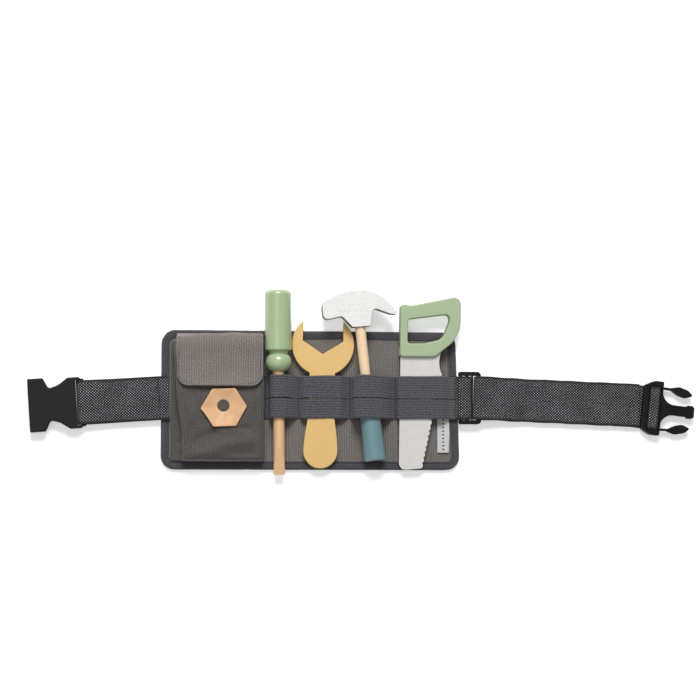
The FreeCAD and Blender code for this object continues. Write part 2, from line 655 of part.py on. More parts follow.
def buckle_plug():
    """Frame with two bars for the strap, and the guide between the prongs."""
    outline = mirrored_outline([
        (PLUG_REAR_X, -20.0, 2.5), (-9.0, -PLUG_HALF_W, 9.0), (0.2, -PLUG_HALF_W, 1.2),
    ])
    frame = softened(plate(outline, *PLUG_Z), 1.1, *PLUG_Z)
    inner = (-PLUG_WINDOW_HALF, PLUG_WINDOW_HALF)
    frame = frame.cut(block((PLUG_REAR_X - 1, -PLUG_FRONT_STRIP), inner, (-1, 12)))
    web = plate(mirrored_outline([
        (-1.0, -PLUG_WINDOW_HALF - 1.0), (0.2, -PLUG_WINDOW_HALF - 1.0),
        (0.2, -GUIDE_HALF_W, 12.0), (24.8, -GUIDE_HALF_W), (24.8, -GUIDE_TIP_HALF_W, 0.8),
        (29.4, -GUIDE_TIP_HALF_W, 0.8), (GUIDE_LENGTH, -4.4, 0.8),
    ]), *PRONG_Z)
    solid = frame.fuse(web)
    reach = PLUG_WINDOW_HALF + 1.5
    solid = solid.fuse(bar(PLUG_BAR_1, PLUG_BAR_1_Z, -reach, reach).common(plate(outline, 0, 12)))
    solid = solid.fuse(bar(PLUG_BAR_2, PLUG_BAR_2_Z, -reach, reach))
    return solid.removeSplitter()


def prong(side):
    """A springy arm with a leaf-shaped head that catches in the socket's side window."""
    leaf_y = PRONG_ROOT_Y - 0.2
    leaf = plate([
        (8.0, leaf_y - 1.3), (14.5, leaf_y - 5.0, 8.0), (21.5, leaf_y - 7.0, 8.0),
        (29.6, leaf_y - 3.8, 1.4), (24.0, leaf_y + 1.0, 10.0), (15.5, leaf_y + 3.2, 8.0),
        (8.0, leaf_y + 1.4),
    ], *PRONG_Z)
    leaf = softened(leaf, 0.9, *PRONG_Z)
    half = PRONG_ARM_T / 2
    root_x = 0.2 + PRONG_GAP
    arm = plate([(root_x, PRONG_ROOT_Y - half), (12.0, leaf_y - 1.5), (12.0, leaf_y + 0.9),
                 (root_x, PRONG_ROOT_Y + half)], *PRONG_Z)
    solid = leaf.fuse(arm).removeSplitter()
    if side < 0:
        solid = solid.mirror(Vector(0, 0, 0), Vector(0, 1, 0))
    return solid


def plug():
    parts = {
        "buckle_plug": buckle_plug(),
        "plug_strap_loop": plug_loop(),
        "plug_prong_upper": prong(1),
        "plug_prong_lower": prong(-1),
    }
    return {name: placed(solid, PLUG_ORIGIN, PLUG_HEADING) for name, solid in parts.items()}


def main():
    os.makedirs("parts", exist_ok=True)
    nodes = {}
    for group in (panel(), pocket(), flap(), bands(), screwdriver(), wrench(), hammer(), saw(),
                  left_strap(), right_strap(), plug()):
        nodes.update(group)
    nodes["side_label"] = side_label()
    nodes["strap_slider"] = slider()
    nodes["right_tab"] = right_tab()
    nodes["buckle_socket"] = buckle_socket()
    for name, solid in nodes.items():
        box = solid.BoundBox
        print(f"{name:20s} {solid.isValid()} {len(solid.Solids)} {solid.Volume:10.1f}"
              f"  X {box.XMin:7.1f} {box.XMax:7.1f}  Y {box.YMin:6.1f} {box.YMax:6.1f}"
              f"  Z {box.ZMin:5.1f} {box.ZMax:5.1f}")
        solid.exportStep(f"parts/{name}.step")


main()
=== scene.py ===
from math import acos, atan2, cos, hypot, log, pi, radians, sin, sqrt, tan

import bpy
import numpy as np
from mathutils import Matrix, Vector


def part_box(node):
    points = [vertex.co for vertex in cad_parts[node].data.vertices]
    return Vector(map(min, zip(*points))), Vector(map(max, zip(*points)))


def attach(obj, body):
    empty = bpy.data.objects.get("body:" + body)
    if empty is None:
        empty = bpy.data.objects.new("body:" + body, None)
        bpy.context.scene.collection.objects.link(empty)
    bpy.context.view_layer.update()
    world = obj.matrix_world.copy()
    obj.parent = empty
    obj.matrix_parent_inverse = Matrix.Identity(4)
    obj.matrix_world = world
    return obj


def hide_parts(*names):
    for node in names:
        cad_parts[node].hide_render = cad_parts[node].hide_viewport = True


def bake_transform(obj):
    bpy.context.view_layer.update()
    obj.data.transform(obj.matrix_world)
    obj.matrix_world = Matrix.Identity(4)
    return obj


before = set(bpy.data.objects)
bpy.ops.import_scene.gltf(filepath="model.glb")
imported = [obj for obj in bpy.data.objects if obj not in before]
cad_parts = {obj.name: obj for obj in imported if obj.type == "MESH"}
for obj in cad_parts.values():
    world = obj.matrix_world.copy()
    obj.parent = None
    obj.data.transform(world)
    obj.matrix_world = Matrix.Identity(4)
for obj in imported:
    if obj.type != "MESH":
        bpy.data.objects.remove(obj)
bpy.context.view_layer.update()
scene = bpy.context.scene

# A child's canvas tool belt lying on its back, seen from above.  Plans are in millimetres, meshes
# in metres, and mm turns the first into the second.
mm = 0.001
UV = "cloth"
WEBBING_HALF = 20
WEBBING_T = 1.4 * mm
CLOTH_EDGE = 0.35           # millimetres between the close points at the edges of a cloth
THICK_THREAD = 0.34 * mm    # radius


# ---- meshes

def add_mesh(name, points, faces, uv=None, smooth=True):
    """A mesh object; uv has one (u, v) pair for each point, in metres."""
    mesh = bpy.data.meshes.new(name)
    mesh.from_pydata([tuple(p) for p in points], [], [tuple(f) for f in faces])
    if uv is not None:
        layer = mesh.uv_layers.new(name=UV)
        corner_points = np.zeros(len(mesh.loops), np.int32)
        mesh.loops.foreach_get("vertex_index", corner_points)
        layer.data.foreach_set("uv", np.asarray(uv, np.float32)[corner_points].ravel())
    mesh.polygons.foreach_set("use_smooth", [smooth] * len(mesh.polygons))
    mesh.validate()
    mesh.update()
    obj = bpy.data.objects.new(name, mesh)
    scene.collection.objects.link(obj)
    return obj


def grid_faces(rows, columns, first=0, cyclic_rows=False, cyclic_columns=False, flip=False):
    """Quads of a grid of points numbered row by row."""
    faces = []
    for i in range(rows if cyclic_rows else rows - 1):
        for j in range(columns if cyclic_columns else columns - 1):
            a = first + i * columns + j
            b = first + i * columns + (j + 1) % columns
            c = first + (i + 1) % rows * columns + (j + 1) % columns
            d = first + (i + 1) % rows * columns + j
            faces.append((a, d, c, b) if flip else (a, b, c, d))
    return faces


def shell(name, front, back, uv):
    """A closed mesh of two grids of points, one behind the other, joined round their rims."""
    rows, columns = front.shape[:2]
    count = rows * columns
    faces = grid_faces(rows, columns) + grid_faces(rows, columns, first=count, flip=True)
    at = np.arange(count).reshape(rows, columns)
    rim = np.concatenate([at[0], at[1:, -1], at[-1, -2::-1], at[-2:0:-1, 0]]).tolist()
    faces += [(b, a, a + count, b + count) for a, b in zip(rim, rim[1:] + rim[:1])]
    points = np.concatenate([front.reshape(-1, 3), back.reshape(-1, 3)])
    return add_mesh(name, points, faces, np.concatenate([uv.reshape(-1, 2)] * 2))


def cloth_grid(name, grid, thickness, uv, relief=0.0):
    """A piece of cloth about a grid of mid points, with rounded edges; relief raises its front."""
    normals = np.cross(np.gradient(grid, axis=0), np.gradient(grid, axis=1))
    normals /= np.maximum(np.linalg.norm(normals, axis=2, keepdims=True), 1e-12)
    thin = np.ones(grid.shape[:2])
    for depth, share in ((1, 0.86), (0, 0.4)):
        thin[[depth, -1 - depth], :] = share
        thin[:, [depth, -1 - depth]] = share
    half = (thickness / 2 * thin)[..., None]
    front = grid + normals * (half + (relief * thin)[..., None])
    return shell(name, front, grid - normals * half, uv)


def soften(obj):
    smooth = obj.modifiers.new("soften", "SUBSURF")
    smooth.levels = smooth.render_levels = 1


def bell(x, middle, width):
    return np.exp(-((x - middle) / width) ** 2)


def unit(vector):
    return vector / np.linalg.norm(vector)


def travelled(line):
    """The distance along a line of points, at each of them."""
    return np.concatenate([[0], np.cumsum(np.linalg.norm(np.diff(line, axis=0), axis=1))])


def edged(low, high, count, edge=CLOTH_EDGE * mm):
    """Positions from low to high, with closely spaced ones at both ends."""
    inner = np.linspace(low + 2 * edge, high - 2 * edge, count)
    return np.concatenate([[low, low + edge], inner, [high - edge, high]])


def rounded(path, step):
    """Even steps along a path of (x, z[, bend radius]) in millimetres.

    It gives their points and their distances from the start, both in metres.
    """
    corners = [np.array(p[:2], float) for p in path]
    line = [corners[0]]
    for i in range(1, len(path) - 1):
        radius = path[i][2] if len(path[i]) > 2 else 0.0
        back, ahead = unit(corners[i - 1] - corners[i]), unit(corners[i + 1] - corners[i])
        turn = pi - acos(float(np.clip(back @ ahead, -1, 1)))
        if radius <= 0 or turn < 1e-4:
            line.append(corners[i])
            continue
        cut = radius * tan(turn / 2)
        centre = corners[i] + unit(back + ahead) * radius / cos(turn / 2)
        start, end = corners[i] + back * cut - centre, corners[i] + ahead * cut - centre
        for t in np.linspace(0, 1, 9):
            ray = (start * sin((1 - t) * turn) + end * sin(t * turn)) / sin(turn)
            line.append(centre + ray)
    line.append(corners[-1])
    line = np.array(line)
    length = travelled(line)
    at = edged(0, length[-1], max(int(length[-1] / step), 2), CLOTH_EDGE)
    points = np.stack([np.interp(at, length, line[:, k]) for k in (0, 1)], axis=1)
    return points * mm, at * mm


def row_frame(origin, heading):
    """Matrix from a part's own frame to the row frame; millimetres and degrees."""
    return Matrix.Translation(Vector(origin) * mm) @ Matrix.Rotation(radians(heading), 4, "Z")


def moved(points, matrix):
    m = np.array(matrix)
    return points @ m[:3, :3].T + m[:3, 3]


def waves(seed, count, shortest, longest):
    """A smooth random function of two coordinates in metres, about -1 to 1."""
    rng = np.random.default_rng(seed)
    length = np.exp(rng.uniform(log(shortest), log(longest), count)) * mm
    angle = rng.uniform(0, pi, count)
    phase = rng.uniform(0, 2 * pi, count)

    def value(x, y):
        return sum(np.sin(2 * pi * (x * cos(a) + y * sin(a)) / wave + shift)
                   for a, wave, shift in zip(angle, length, phase)) / sqrt(count)
    return value


def tape(name, path, y_low, y_high, thickness, matrix, step, across, wander, seed, relief=None):
    """A woven tape along a path of (x, z[, radius]) millimetres, in the frame that matrix gives.

    Its edges wander from straight by that many millimetres, and relief gives the front's height.
    """
    route, length = rounded(path, step)
    lateral = edged(y_low * mm, y_high * mm, across)
    grid = np.zeros((len(lateral), len(route), 3))
    grid[..., ::2] = route
    drift = waves(seed, 5, 18, 70)
    middle = (y_low + y_high) / 2 * mm
    side = np.sign(lateral - middle)[:, None] * np.ones(len(route))
    grid[..., 1] = lateral[:, None] + wander * mm * drift(length[None, :], side)
    uv = np.stack(np.broadcast_arrays(length[None, :], lateral[:, None] - middle), axis=2)
    height = relief(uv[..., 0], uv[..., 1]) if relief else np.zeros(uv.shape[:2])
    grid = moved(grid.reshape(-1, 3), matrix).reshape(grid.shape)
    return cloth_grid(name, grid[::-1], thickness, uv[::-1], height[::-1])


def threads(name, stitches, radius, rings=5, sides=6):
    """Short lengths of thread, each from one point to another with its ends sunk in the cloth."""
    points, faces, uv = [], [], []
    for start, end, normal in stitches:
        start, end, normal = Vector(start), Vector(end), Vector(normal).normalized()
        along = (end - start).normalized()
        length = (end - start).length
        side = normal.cross(along).normalized()
        up = along.cross(side)
        first = len(points)
        for i in range(rings):
            t = i / (rings - 1)
            lift = sin(pi * t)
            size = radius * (0.45 + 0.55 * lift ** 0.5)
            centre = start + along * (length * t) + up * radius * (1.1 * lift - 0.6)
            for k in range(sides):
                angle = 2 * pi * k / sides
                points.append(centre + side * cos(angle) * size + up * sin(angle) * size)
                uv.append((length * t, angle * radius))
        faces += grid_faces(rings, sides, first, cyclic_columns=True)
        last = first + (rings - 1) * sides
        faces += [tuple(range(first + sides - 1, first - 1, -1)), tuple(range(last, last + sides))]
    return add_mesh(name, points, faces, uv)


def seam(line, pitch, gap, normal=(0, 0, 1), closed=False):
    """Stitches of one pitch along a line of points, in metres."""
    line = np.array(line, float)
    if closed:
        line = np.concatenate([line, line[:1]])
    length = travelled(line)
    count = max(int(round(length[-1] / (pitch * mm))), 1)
    real = length[-1] / count

    def at(s):
        return [float(np.interp(s, length, line[:, k])) for k in range(3)]
    return [(at(i * real), at((i + 1) * real - gap * mm), normal) for i in range(count)]


def zigzag(start, end, half_width, pitch, normal=(0, 0, 1)):
    """A dense zigzag from start to end."""
    start, end = Vector(start), Vector(end)
    along = end - start
    count = max(int(along.length / (pitch * mm)), 2)
    side = Vector(normal).cross(along).normalized() * half_width * mm
    points = [start + along * (i / count) + side * (1 if i % 2 else -1) for i in range(count + 1)]
    return [(points[i], points[i + 1], normal) for i in range(count)]


# ---- materials

def linear(red, green, blue):
    """Scene-linear colour of a display colour from 0 to 255."""
    shares = (c / 255 for c in (red, green, blue))
    return (*(c / 12.92 if c <= 0.04045 else ((c + 0.055) / 1.055) ** 2.4 for c in shares), 1.0)


class Finish:
    """A node material under construction."""

    def __init__(self, name, roughness, **sockets):
        self.material = bpy.data.materials.new(name)
        self.material.use_nodes = True
        self.tree = self.material.node_tree
        self.tree.nodes.clear()
        output = self.add("OutputMaterial")
        self.shader = self.add("BsdfPrincipled")
        self.tree.links.new(self.shader.outputs[0], output.inputs["Surface"])
        self.shader.inputs["Roughness"].default_value = roughness
        for key, value in sockets.items():
            label = key.replace("_", " ").title().replace("Ior", "IOR")
            self.shader.inputs[label].default_value = value

    def put(self, socket, value):
        """A link or a value; three numbers for a colour socket are a display colour."""
        if isinstance(value, bpy.types.NodeSocket):
            self.tree.links.new(value, socket)
        elif socket.type == "RGBA" and len(value) == 3:
            socket.default_value = linear(*value)
        else:
            socket.default_value = value

    def add(self, kind, inputs=(), **settings):
        node = self.tree.nodes.new("ShaderNode" + kind)
        for key, value in settings.items():
            setattr(node, key, value)
        for key, value in dict(inputs).items():
            self.put(node.inputs[key], value)
        return node

    def math(self, operation, a, b=0.0, c=0.0):
        return self.add("Math", {0: a, 1: b, 2: c}, operation=operation).outputs[0]

    def scaled(self, value, factor, offset):
        return self.math("MULTIPLY_ADD", value, factor, offset)

    def times(self, a, b):
        return self.math("MULTIPLY", a, b)

    def mix(self, share, a, b):
        node = self.add("Mix", data_type="RGBA")
        self.put(node.inputs[0], share)
        self.put(node.inputs[6], a)
        self.put(node.inputs[7], b)
        return node.outputs[2]

    def step(self, value, low, high):
        """0 below low, 1 above high, smooth between."""
        node = self.add("MapRange", {"Value": value, "From Min": low, "From Max": high},
                        interpolation_type="SMOOTHSTEP")
        return node.outputs["Result"]

    def cloth_place(self):
        """The two coordinates of the cloth's own map, in metres."""
        place = self.add("UVMap", uv_map=UV).outputs["UV"]
        split = self.add("SeparateXYZ", {0: place})
        return place, split.outputs[0], split.outputs[1]

    def solid_place(self, along=1.0, turn=0.0):
        """The place in the row frame, in metres, turned to a tool and scaled along it."""
        place = self.add("TexCoord").outputs["Object"]
        return self.add("Mapping", {"Vector": place, "Rotation": (0, 0, turn),
                                    "Scale": (1, along, 1)}).outputs[0]

    def noise(self, place, size, detail, roughness):
        """Noise whose features are about size millimetres."""
        node = self.add("TexNoise", {"Vector": place, "Scale": 1 / (size * mm), "Detail": detail,
                                     "Roughness": roughness})
        return node.outputs["Fac"]

    def stretched(self, place, along, across):
        """The place with its two coordinates scaled, for yarn that runs one way."""
        return self.add("Mapping", {"Vector": place, "Scale": (along, across, 1)}).outputs[0]

    def faces_front(self):
        """1 where the surface faces the front of its tool, 0 on its side walls."""
        place = self.add("TexCoord").outputs["Normal"]
        split = self.add("SeparateXYZ", {0: place})
        return self.step(split.outputs[2], 0.25, 0.8)

    def sine(self, value, pitch):
        return self.math("SINE", self.scaled(value, 2 * pi / (pitch * mm), 0.0))

    def colour(self, value):
        self.put(self.shader.inputs["Base Color"], value)

    def roughness(self, value):
        self.put(self.shader.inputs["Roughness"], value)

    def bump(self, height, distance, strength):
        """Bump of the given depth in millimetres."""
        node = self.add("Bump", {"Height": height, "Distance": distance * mm, "Strength": strength})
        self.put(self.shader.inputs["Normal"], node.outputs[0])


def woven(name, dark, light, pitch=2.3, heather=0.6, slub=0.6, sheen=0.15, diagonal=0.0):
    """Plain or twill cloth: threads of the given pitch, with mottled yarn."""
    f = Finish(name, 0.92, sheen_weight=sheen, sheen_roughness=0.6)
    place, u, v = f.cloth_place()
    if diagonal:
        weave = f.sine(f.scaled(u, diagonal, v), pitch)
        cross = f.scaled(f.sine(u, pitch * 0.5), 0.3, weave)
    else:
        cross = f.times(f.sine(u, pitch), f.sine(v, pitch * 1.05))
        cross = f.scaled(f.sine(u, pitch * 0.97), 0.4, cross)
    warp = f.noise(f.stretched(place, 0.4, 1.0), heather, 1.0, 0.5)
    weft = f.noise(f.stretched(place, 1.0, 0.4), heather, 1.0, 0.5)
    yarn = f.times(f.math("ADD", warp, weft), 0.5)
    cloud = f.noise(place, 16.0, 3.0, 0.6)
    share = f.scaled(cross, 0.42, f.step(yarn, 0.2, 0.8))
    share = f.scaled(f.math("SUBTRACT", cloud, 0.5), 0.25, share)
    f.colour(f.mix(share, dark, light))
    f.bump(f.scaled(yarn, slub * 2, cross), 0.16, 0.8)
    return f.material


def webbing_finish():
    """Heavy webbing: staggered pale dots, painted highlights on the yarn, between dark ribs;
    plainer at its edges.
    """
    f = Finish("webbing_weave", 0.8, specular_ior_level=0.3, sheen_weight=0.06, sheen_roughness=0.5)
    place, u, v = f.cloth_place()
    dots = f.times(f.sine(u, 2.7), f.sine(v, 2.5))
    wander = f.math("SUBTRACT", f.noise(place, 0.9, 2.0, 0.7), 0.5)
    edge = f.step(f.math("ABSOLUTE", v), 17.2 * mm, 18.6 * mm)
    inside = f.math("SUBTRACT", 1.0, f.times(edge, 0.75))
    # Painted highlight: the pale dots, in broad patches of stronger and weaker painted sheen.
    glint = f.times(f.step(f.scaled(wander, 1.1, dots), 0.5, 0.85), inside)
    glint = f.times(glint, f.scaled(f.noise(place, 24.0, 2.0, 0.5), 0.9, 0.3))
    ribs = f.scaled(f.sine(u, 2.7), 0.3, 0.5)
    base = f.mix(ribs, (6, 6, 8), (26, 25, 29))
    f.colour(f.mix(glint, base, (226, 226, 232)))
    f.bump(f.scaled(dots, 0.6, ribs), 0.3, 0.9)
    return f.material


def elastic_finish():
    f = Finish("elastic_rib", 0.88, sheen_weight=0.15, sheen_roughness=0.6)
    place, u, v = f.cloth_place()
    ribs = f.sine(v, 2.3)
    fine = f.times(f.sine(u, 0.9), f.sine(v, 0.85))
    mottled = f.noise(place, 1.3, 3.0, 0.7)
    share = f.scaled(ribs, 0.17, f.step(mottled, 0.24, 0.76))
    share = f.scaled(fine, 0.1, share)
    f.colour(f.mix(share, (34, 33, 38), (102, 100, 108)))
    f.bump(f.scaled(fine, 0.5, ribs), 0.18, 0.9)
    return f.material


def plastic_finish():
    f = Finish("satin_plastic", 0.42, specular_ior_level=0.25)
    place = f.solid_place()
    grain = f.noise(place, 0.35, 2.0, 0.5)
    smear = f.noise(place, 11.0, 3.0, 0.6)
    f.colour(f.mix(smear, (10, 9, 12), (20, 19, 23)))
    f.roughness(f.scaled(smear, 0.22, 0.34))
    f.bump(grain, 0.03, 0.5)
    return f.material


def paint_finish(name, colour, deep, gloss, turn, brush, coat=0.0, shaded_side_walls=False):
    """Painted wood: the grain shows faintly through; when asked, the tool's side walls get painted
    shade, a darker copy of its deep colour.
    """
    f = Finish(name, gloss, coat_weight=coat, coat_roughness=0.12)
    place = f.solid_place(0.12, turn)
    grain = f.noise(place, 1.6, 4.0, 0.6)
    cloud = f.noise(f.solid_place(), 16.0, 3.0, 0.55)
    speck = f.noise(f.solid_place(), 0.5, 2.0, 0.6)
    share = f.scaled(grain, brush, f.scaled(cloud, 0.6, -0.12))
    front = f.mix(share, colour, deep)
    if shaded_side_walls:
        # Painted shade: the side walls, which face away from the front, are painted darker than the
        # front.
        wall = tuple(c * 0.72 for c in linear(*deep)[:3]) + (1.0,)
        front = f.mix(f.faces_front(), wall, front)
    f.colour(front)
    f.roughness(f.scaled(cloud, 0.14, gloss - 0.05))
    f.bump(f.scaled(speck, 0.25, grain), 0.06, 0.35)
    return f.material


def bare_wood_finish(name, pale, dark, turn):
    """Beech: long soft grain with short dark flecks, along the tool."""
    f = Finish(name, 0.55, coat_weight=0.06, coat_roughness=0.4)
    long_place = f.solid_place(0.045, turn)
    grain = f.noise(long_place, 1.5, 5.0, 0.62)
    rings = f.noise(long_place, 5.0, 2.0, 0.5)
    fleck = f.step(f.noise(f.solid_place(0.14, turn), 0.42, 2.0, 0.5), 0.62, 0.74)
    share = f.scaled(grain, 0.75, f.scaled(rings, 0.5, -0.3))
    base = f.mix(share, pale, dark)
    f.colour(f.mix(f.times(fleck, 0.55), base, (150, 104, 66)))
    f.roughness(f.scaled(grain, 0.2, 0.42))
    f.bump(f.scaled(fleck, -0.6, grain), 0.07, 0.5)
    return f.material


def silver_finish(name, pale, deep):
    """Pale grey paint brushed on open-pored wood: it is full of small dark pits."""
    f = Finish(name, 0.55, specular_ior_level=0.4)
    place = f.solid_place(0.6)
    pits = f.noise(place, 0.5, 1.0, 0.5)
    broad = f.noise(f.solid_place(), 13.0, 3.0, 0.6)
    dark = f.step(pits, 0.42, 0.72)
    base = f.mix(broad, pale, deep)
    front = f.mix(f.times(dark, 0.55), base, (176, 174, 171))
    # Painted shade: the side walls are painted dark grey, and the front stays silver.
    f.colour(f.mix(f.faces_front(), (84, 82, 81), front))
    f.roughness(f.scaled(dark, 0.2, 0.45))
    f.bump(f.math("SUBTRACT", 1.0, dark), 0.12, 0.6)
    return f.material


def leather_finish():
    f = Finish("tan_grain", 0.5, coat_weight=0.08, coat_roughness=0.35)
    place = f.solid_place()
    pebble = f.add("TexVoronoi", {"Vector": place, "Scale": 1 / (0.9 * mm)},
                   feature="DISTANCE_TO_EDGE").outputs["Distance"]
    cloud = f.noise(place, 9.0, 4.0, 0.6)
    fine = f.noise(place, 0.5, 2.0, 0.6)
    f.colour(f.mix(cloud, (238, 194, 148), (202, 152, 108)))
    f.roughness(f.scaled(cloud, 0.2, 0.4))
    f.bump(f.scaled(fine, 0.4, f.step(pebble, 0.0, 0.12)), 0.05, 0.5)
    return f.material


def tuft_finish():
    """Hook and loop tape: a fuzz of small loops."""
    f = Finish("fuzz", 0.95, sheen_weight=0.3, sheen_roughness=0.5)
    place = f.solid_place()
    cells = f.add("TexVoronoi", {"Vector": place, "Scale": 1 / (0.8 * mm)})
    loops = cells.outputs["Distance"]
    f.colour(f.mix(f.step(loops, 0.1, 0.7), (92, 90, 88), (40, 38, 38)))
    f.bump(loops, -0.4, 0.9)
    return f.material


def thread_finish(name, colour, deep):
    f = Finish(name, 0.75, sheen_weight=0.2)
    u, v = f.cloth_place()[1:]
    twist = f.sine(f.scaled(v, 1.5, u), 0.6)
    cloud = f.noise(f.solid_place(), 6.0, 2.0, 0.5)
    share = f.scaled(twist, 0.3, f.times(cloud, 0.9))
    f.colour(f.mix(share, colour, deep))
    f.bump(twist, 0.05, 0.5)
    return f.material


CANVAS = woven("canvas", (62, 58, 55), (142, 135, 130))
# A lighter copy of the panel's canvas: painted light over the flap.
LIT_FLAP_CANVAS = woven("flap_canvas_lit", (72, 67, 64), (154, 145, 140))
# A darker copy of the panel's canvas: painted shade over the pocket's front and gussets.
SHADED_POCKET_CANVAS = woven("pocket_canvas_shaded", (42, 39, 37), (106, 99, 95))
LINING = woven("lining", (64, 61, 62), (96, 93, 94), 0.7, 0.5, 0.3)
BINDING = woven("binding_twill", (30, 28, 32), (92, 89, 96), 2.2, 0.7, 0.5, diagonal=0.8)
WEBBING = webbing_finish()
ELASTIC = elastic_finish()
PLASTIC = plastic_finish()
LABEL = woven("label_satin", (222, 219, 218), (244, 242, 241), 0.45, 0.5, 0.2, sheen=0.2)
LEATHER = leather_finish()
TUFT = tuft_finish()
DARK_THREAD = thread_finish("dark_thread", (34, 33, 36), (20, 19, 22))
CANVAS_THREAD = thread_finish("canvas_thread", (40, 37, 35), (24, 22, 21))


def dress(obj, material, body):
    """Material and body of a new piece; one that is blended has no body of its own."""
    obj.data.materials.append(material)
    if body:
        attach(obj, body)


def sew(name, stitches, radius, material, body, slot, **shape):
    """A seam of real thread."""
    dress(threads(name, stitches, radius, **shape), material, body)


def ease_edges(node):
    """Sharp edges of a moulded CAD node rounded by a small rim."""
    weld = node.modifiers.new("weld", "WELD")
    weld.merge_threshold = 0.002 * mm
    ease = node.modifiers.new("rim", "BEVEL")
    ease.width = 0.45 * mm
    ease.segments = 2
    ease.limit_method = "ANGLE"
    ease.angle_limit = radians(40)
    ease.harden_normals = True


# ---- panel

PANEL_LEFT, PANEL_HALF_H, PANEL_CORNER = -137.3, 64.0, 13.0
PANEL_RIGHT_LOW, PANEL_RIGHT_TOP = 137.8, 134.2
PANEL_INSET = 4.0                       # from the outline to the quilted mesh's rim
PANEL_FRONT, PANEL_BACK = 3.25, 0.08    # heights of its two faces before the wadding swells
SEAM_COLUMNS = (-41.8, -37.6, -11.3, 26.4, 78.9, 133.0)
POCKET_SEAM_X, POCKET_SEAM_Y = -44.4, -55.0
SEAM_REACH = 1.2                        # how far to each side a seam presses the wadding down
BAND_LOW, BAND_HIGH = -16.9, 22.1


def panel_right(y):
    """The panel's right edge at a height in millimetres."""
    share = (y + PANEL_HALF_H) / (2 * PANEL_HALF_H)
    return PANEL_RIGHT_LOW + (PANEL_RIGHT_TOP - PANEL_RIGHT_LOW) * share


def swell(obj, pinned, pressure, frames=20):
    """The points of a closed cloth shell after the wadding's pressure has swelled it."""
    group = obj.vertex_groups.new(name="sewn")
    group.add([int(i) for i in pinned], 1.0, "REPLACE")
    cloth = obj.modifiers.new("swell", "CLOTH")
    for key, value in (("quality", 5), ("mass", 0.2), ("tension_stiffness", 12),
                       ("compression_stiffness", 12), ("shear_stiffness", 5),
                       ("bending_stiffness", 0.6), ("use_pressure", True),
                       ("uniform_pressure_force", pressure), ("vertex_group_mass", group.name)):
        setattr(cloth.settings, key, value)
    cloth.settings.effector_weights.gravity = 0
    cloth.point_cache.frame_start = 1
    cloth.point_cache.frame_end = frames
    for number in range(1, frames + 1):
        scene.frame_set(number)
    evaluated = obj.evaluated_get(bpy.context.evaluated_depsgraph_get())
    swollen = np.zeros(len(obj.data.vertices) * 3)
    evaluated.data.vertices.foreach_get("co", swollen)
    obj.modifiers.remove(cloth)
    obj.vertex_groups.remove(group)
    scene.frame_set(1)
    return swollen.reshape(-1, 3)


def make_panel():
    """The quilted panel: canvas in front, wadding pressed thin along each seam, lining behind."""
    ys = np.linspace(-PANEL_HALF_H + PANEL_INSET, PANEL_HALF_H - PANEL_INSET, 61)
    width = panel_right(ys)[:, None] - PANEL_INSET - PANEL_LEFT - PANEL_INSET
    x = PANEL_LEFT + PANEL_INSET + np.linspace(0, 1, 129)[None, :] * width
    y = np.broadcast_to(ys[:, None], x.shape)
    top, low = (np.stack([x, y, np.full(x.shape, z)], axis=2) * mm
                for z in (PANEL_FRONT, PANEL_BACK))
    count = x.size
    points = np.concatenate([top.reshape(-1, 3), low.reshape(-1, 3)])
    panel = shell("belt_panel", top, low, np.stack([x, y], axis=2) * mm)
    sewn = np.zeros(x.shape, bool)
    sewn[[0, 1, -1, -2], :] = True
    sewn[:, [0, 1, -1, -2]] = True
    in_band = (y > BAND_LOW - 1) & (y < BAND_HIGH + 1)
    for column in SEAM_COLUMNS:
        sewn |= in_band & (np.abs(x - column) < SEAM_REACH)
    sewn |= (np.abs(x - POCKET_SEAM_X) < SEAM_REACH) & (y > POCKET_SEAM_Y) & (y < 53)
    sewn |= (np.abs(y - POCKET_SEAM_Y) < SEAM_REACH) & (x < -43) & (x > -129)
    pinned = np.concatenate([np.flatnonzero(sewn.ravel()), np.arange(count, 2 * count)])
    swollen = swell(panel, pinned, 4.0)
    points[:count, 2] = np.clip(swollen[:count, 2], 3.0 * mm, 4.15 * mm)
    soft = waves(3, 9, 14, 60)
    away = np.where(sewn.ravel(), 0.0, 1.0)
    points[:count, 2] += away * 0.12 * mm * soft(points[:count, 0], points[:count, 1])
    panel.data.vertices.foreach_set("co", points.ravel())
    panel.data.update()
    soften(panel)
    panel.data.materials.append(CANVAS)
    panel.data.materials.append(LINING)
    for polygon in panel.data.polygons:
        polygon.material_index = 1 if min(polygon.vertices) >= count else 0
    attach(panel, "belt")
    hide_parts("panel_lining", "panel_padding", "panel_face")


def outline_line(corner_steps=14, step=2.2):
    """Points and outward directions round the panel's outline, in millimetres."""
    corners = [(PANEL_LEFT, -PANEL_HALF_H), (PANEL_RIGHT_LOW, -PANEL_HALF_H),
               (PANEL_RIGHT_TOP, PANEL_HALF_H), (PANEL_LEFT, PANEL_HALF_H)]
    places, outward, arcs = [], [], []
    for i in range(4):
        corner = np.array(corners[i])
        back = unit(np.array(corners[i - 1]) - corner)
        ahead = unit(np.array(corners[(i + 1) % 4]) - corner)
        half = acos(float(back @ ahead)) / 2
        centre = corner + unit(back + ahead) * PANEL_CORNER / sin(half)
        arcs.append((centre, np.array([-back[1], back[0]]), np.array([ahead[1], -ahead[0]])))
    for i in range(4):
        centre, normal_1, normal_2 = arcs[i]
        for t in np.linspace(0, 1, corner_steps + 1):
            ray = unit(normal_1 * (1 - t) + normal_2 * t)
            places.append(centre + ray * PANEL_CORNER)
            outward.append(ray)
        following = arcs[(i + 1) % 4]
        start, end = places[-1], following[0] + following[1] * PANEL_CORNER
        count = int(np.linalg.norm(end - start) / step)
        for k in range(1, count):
            places.append(start + (end - start) * k / count)
            outward.append(normal_2)
    return np.array(places), np.array(outward)


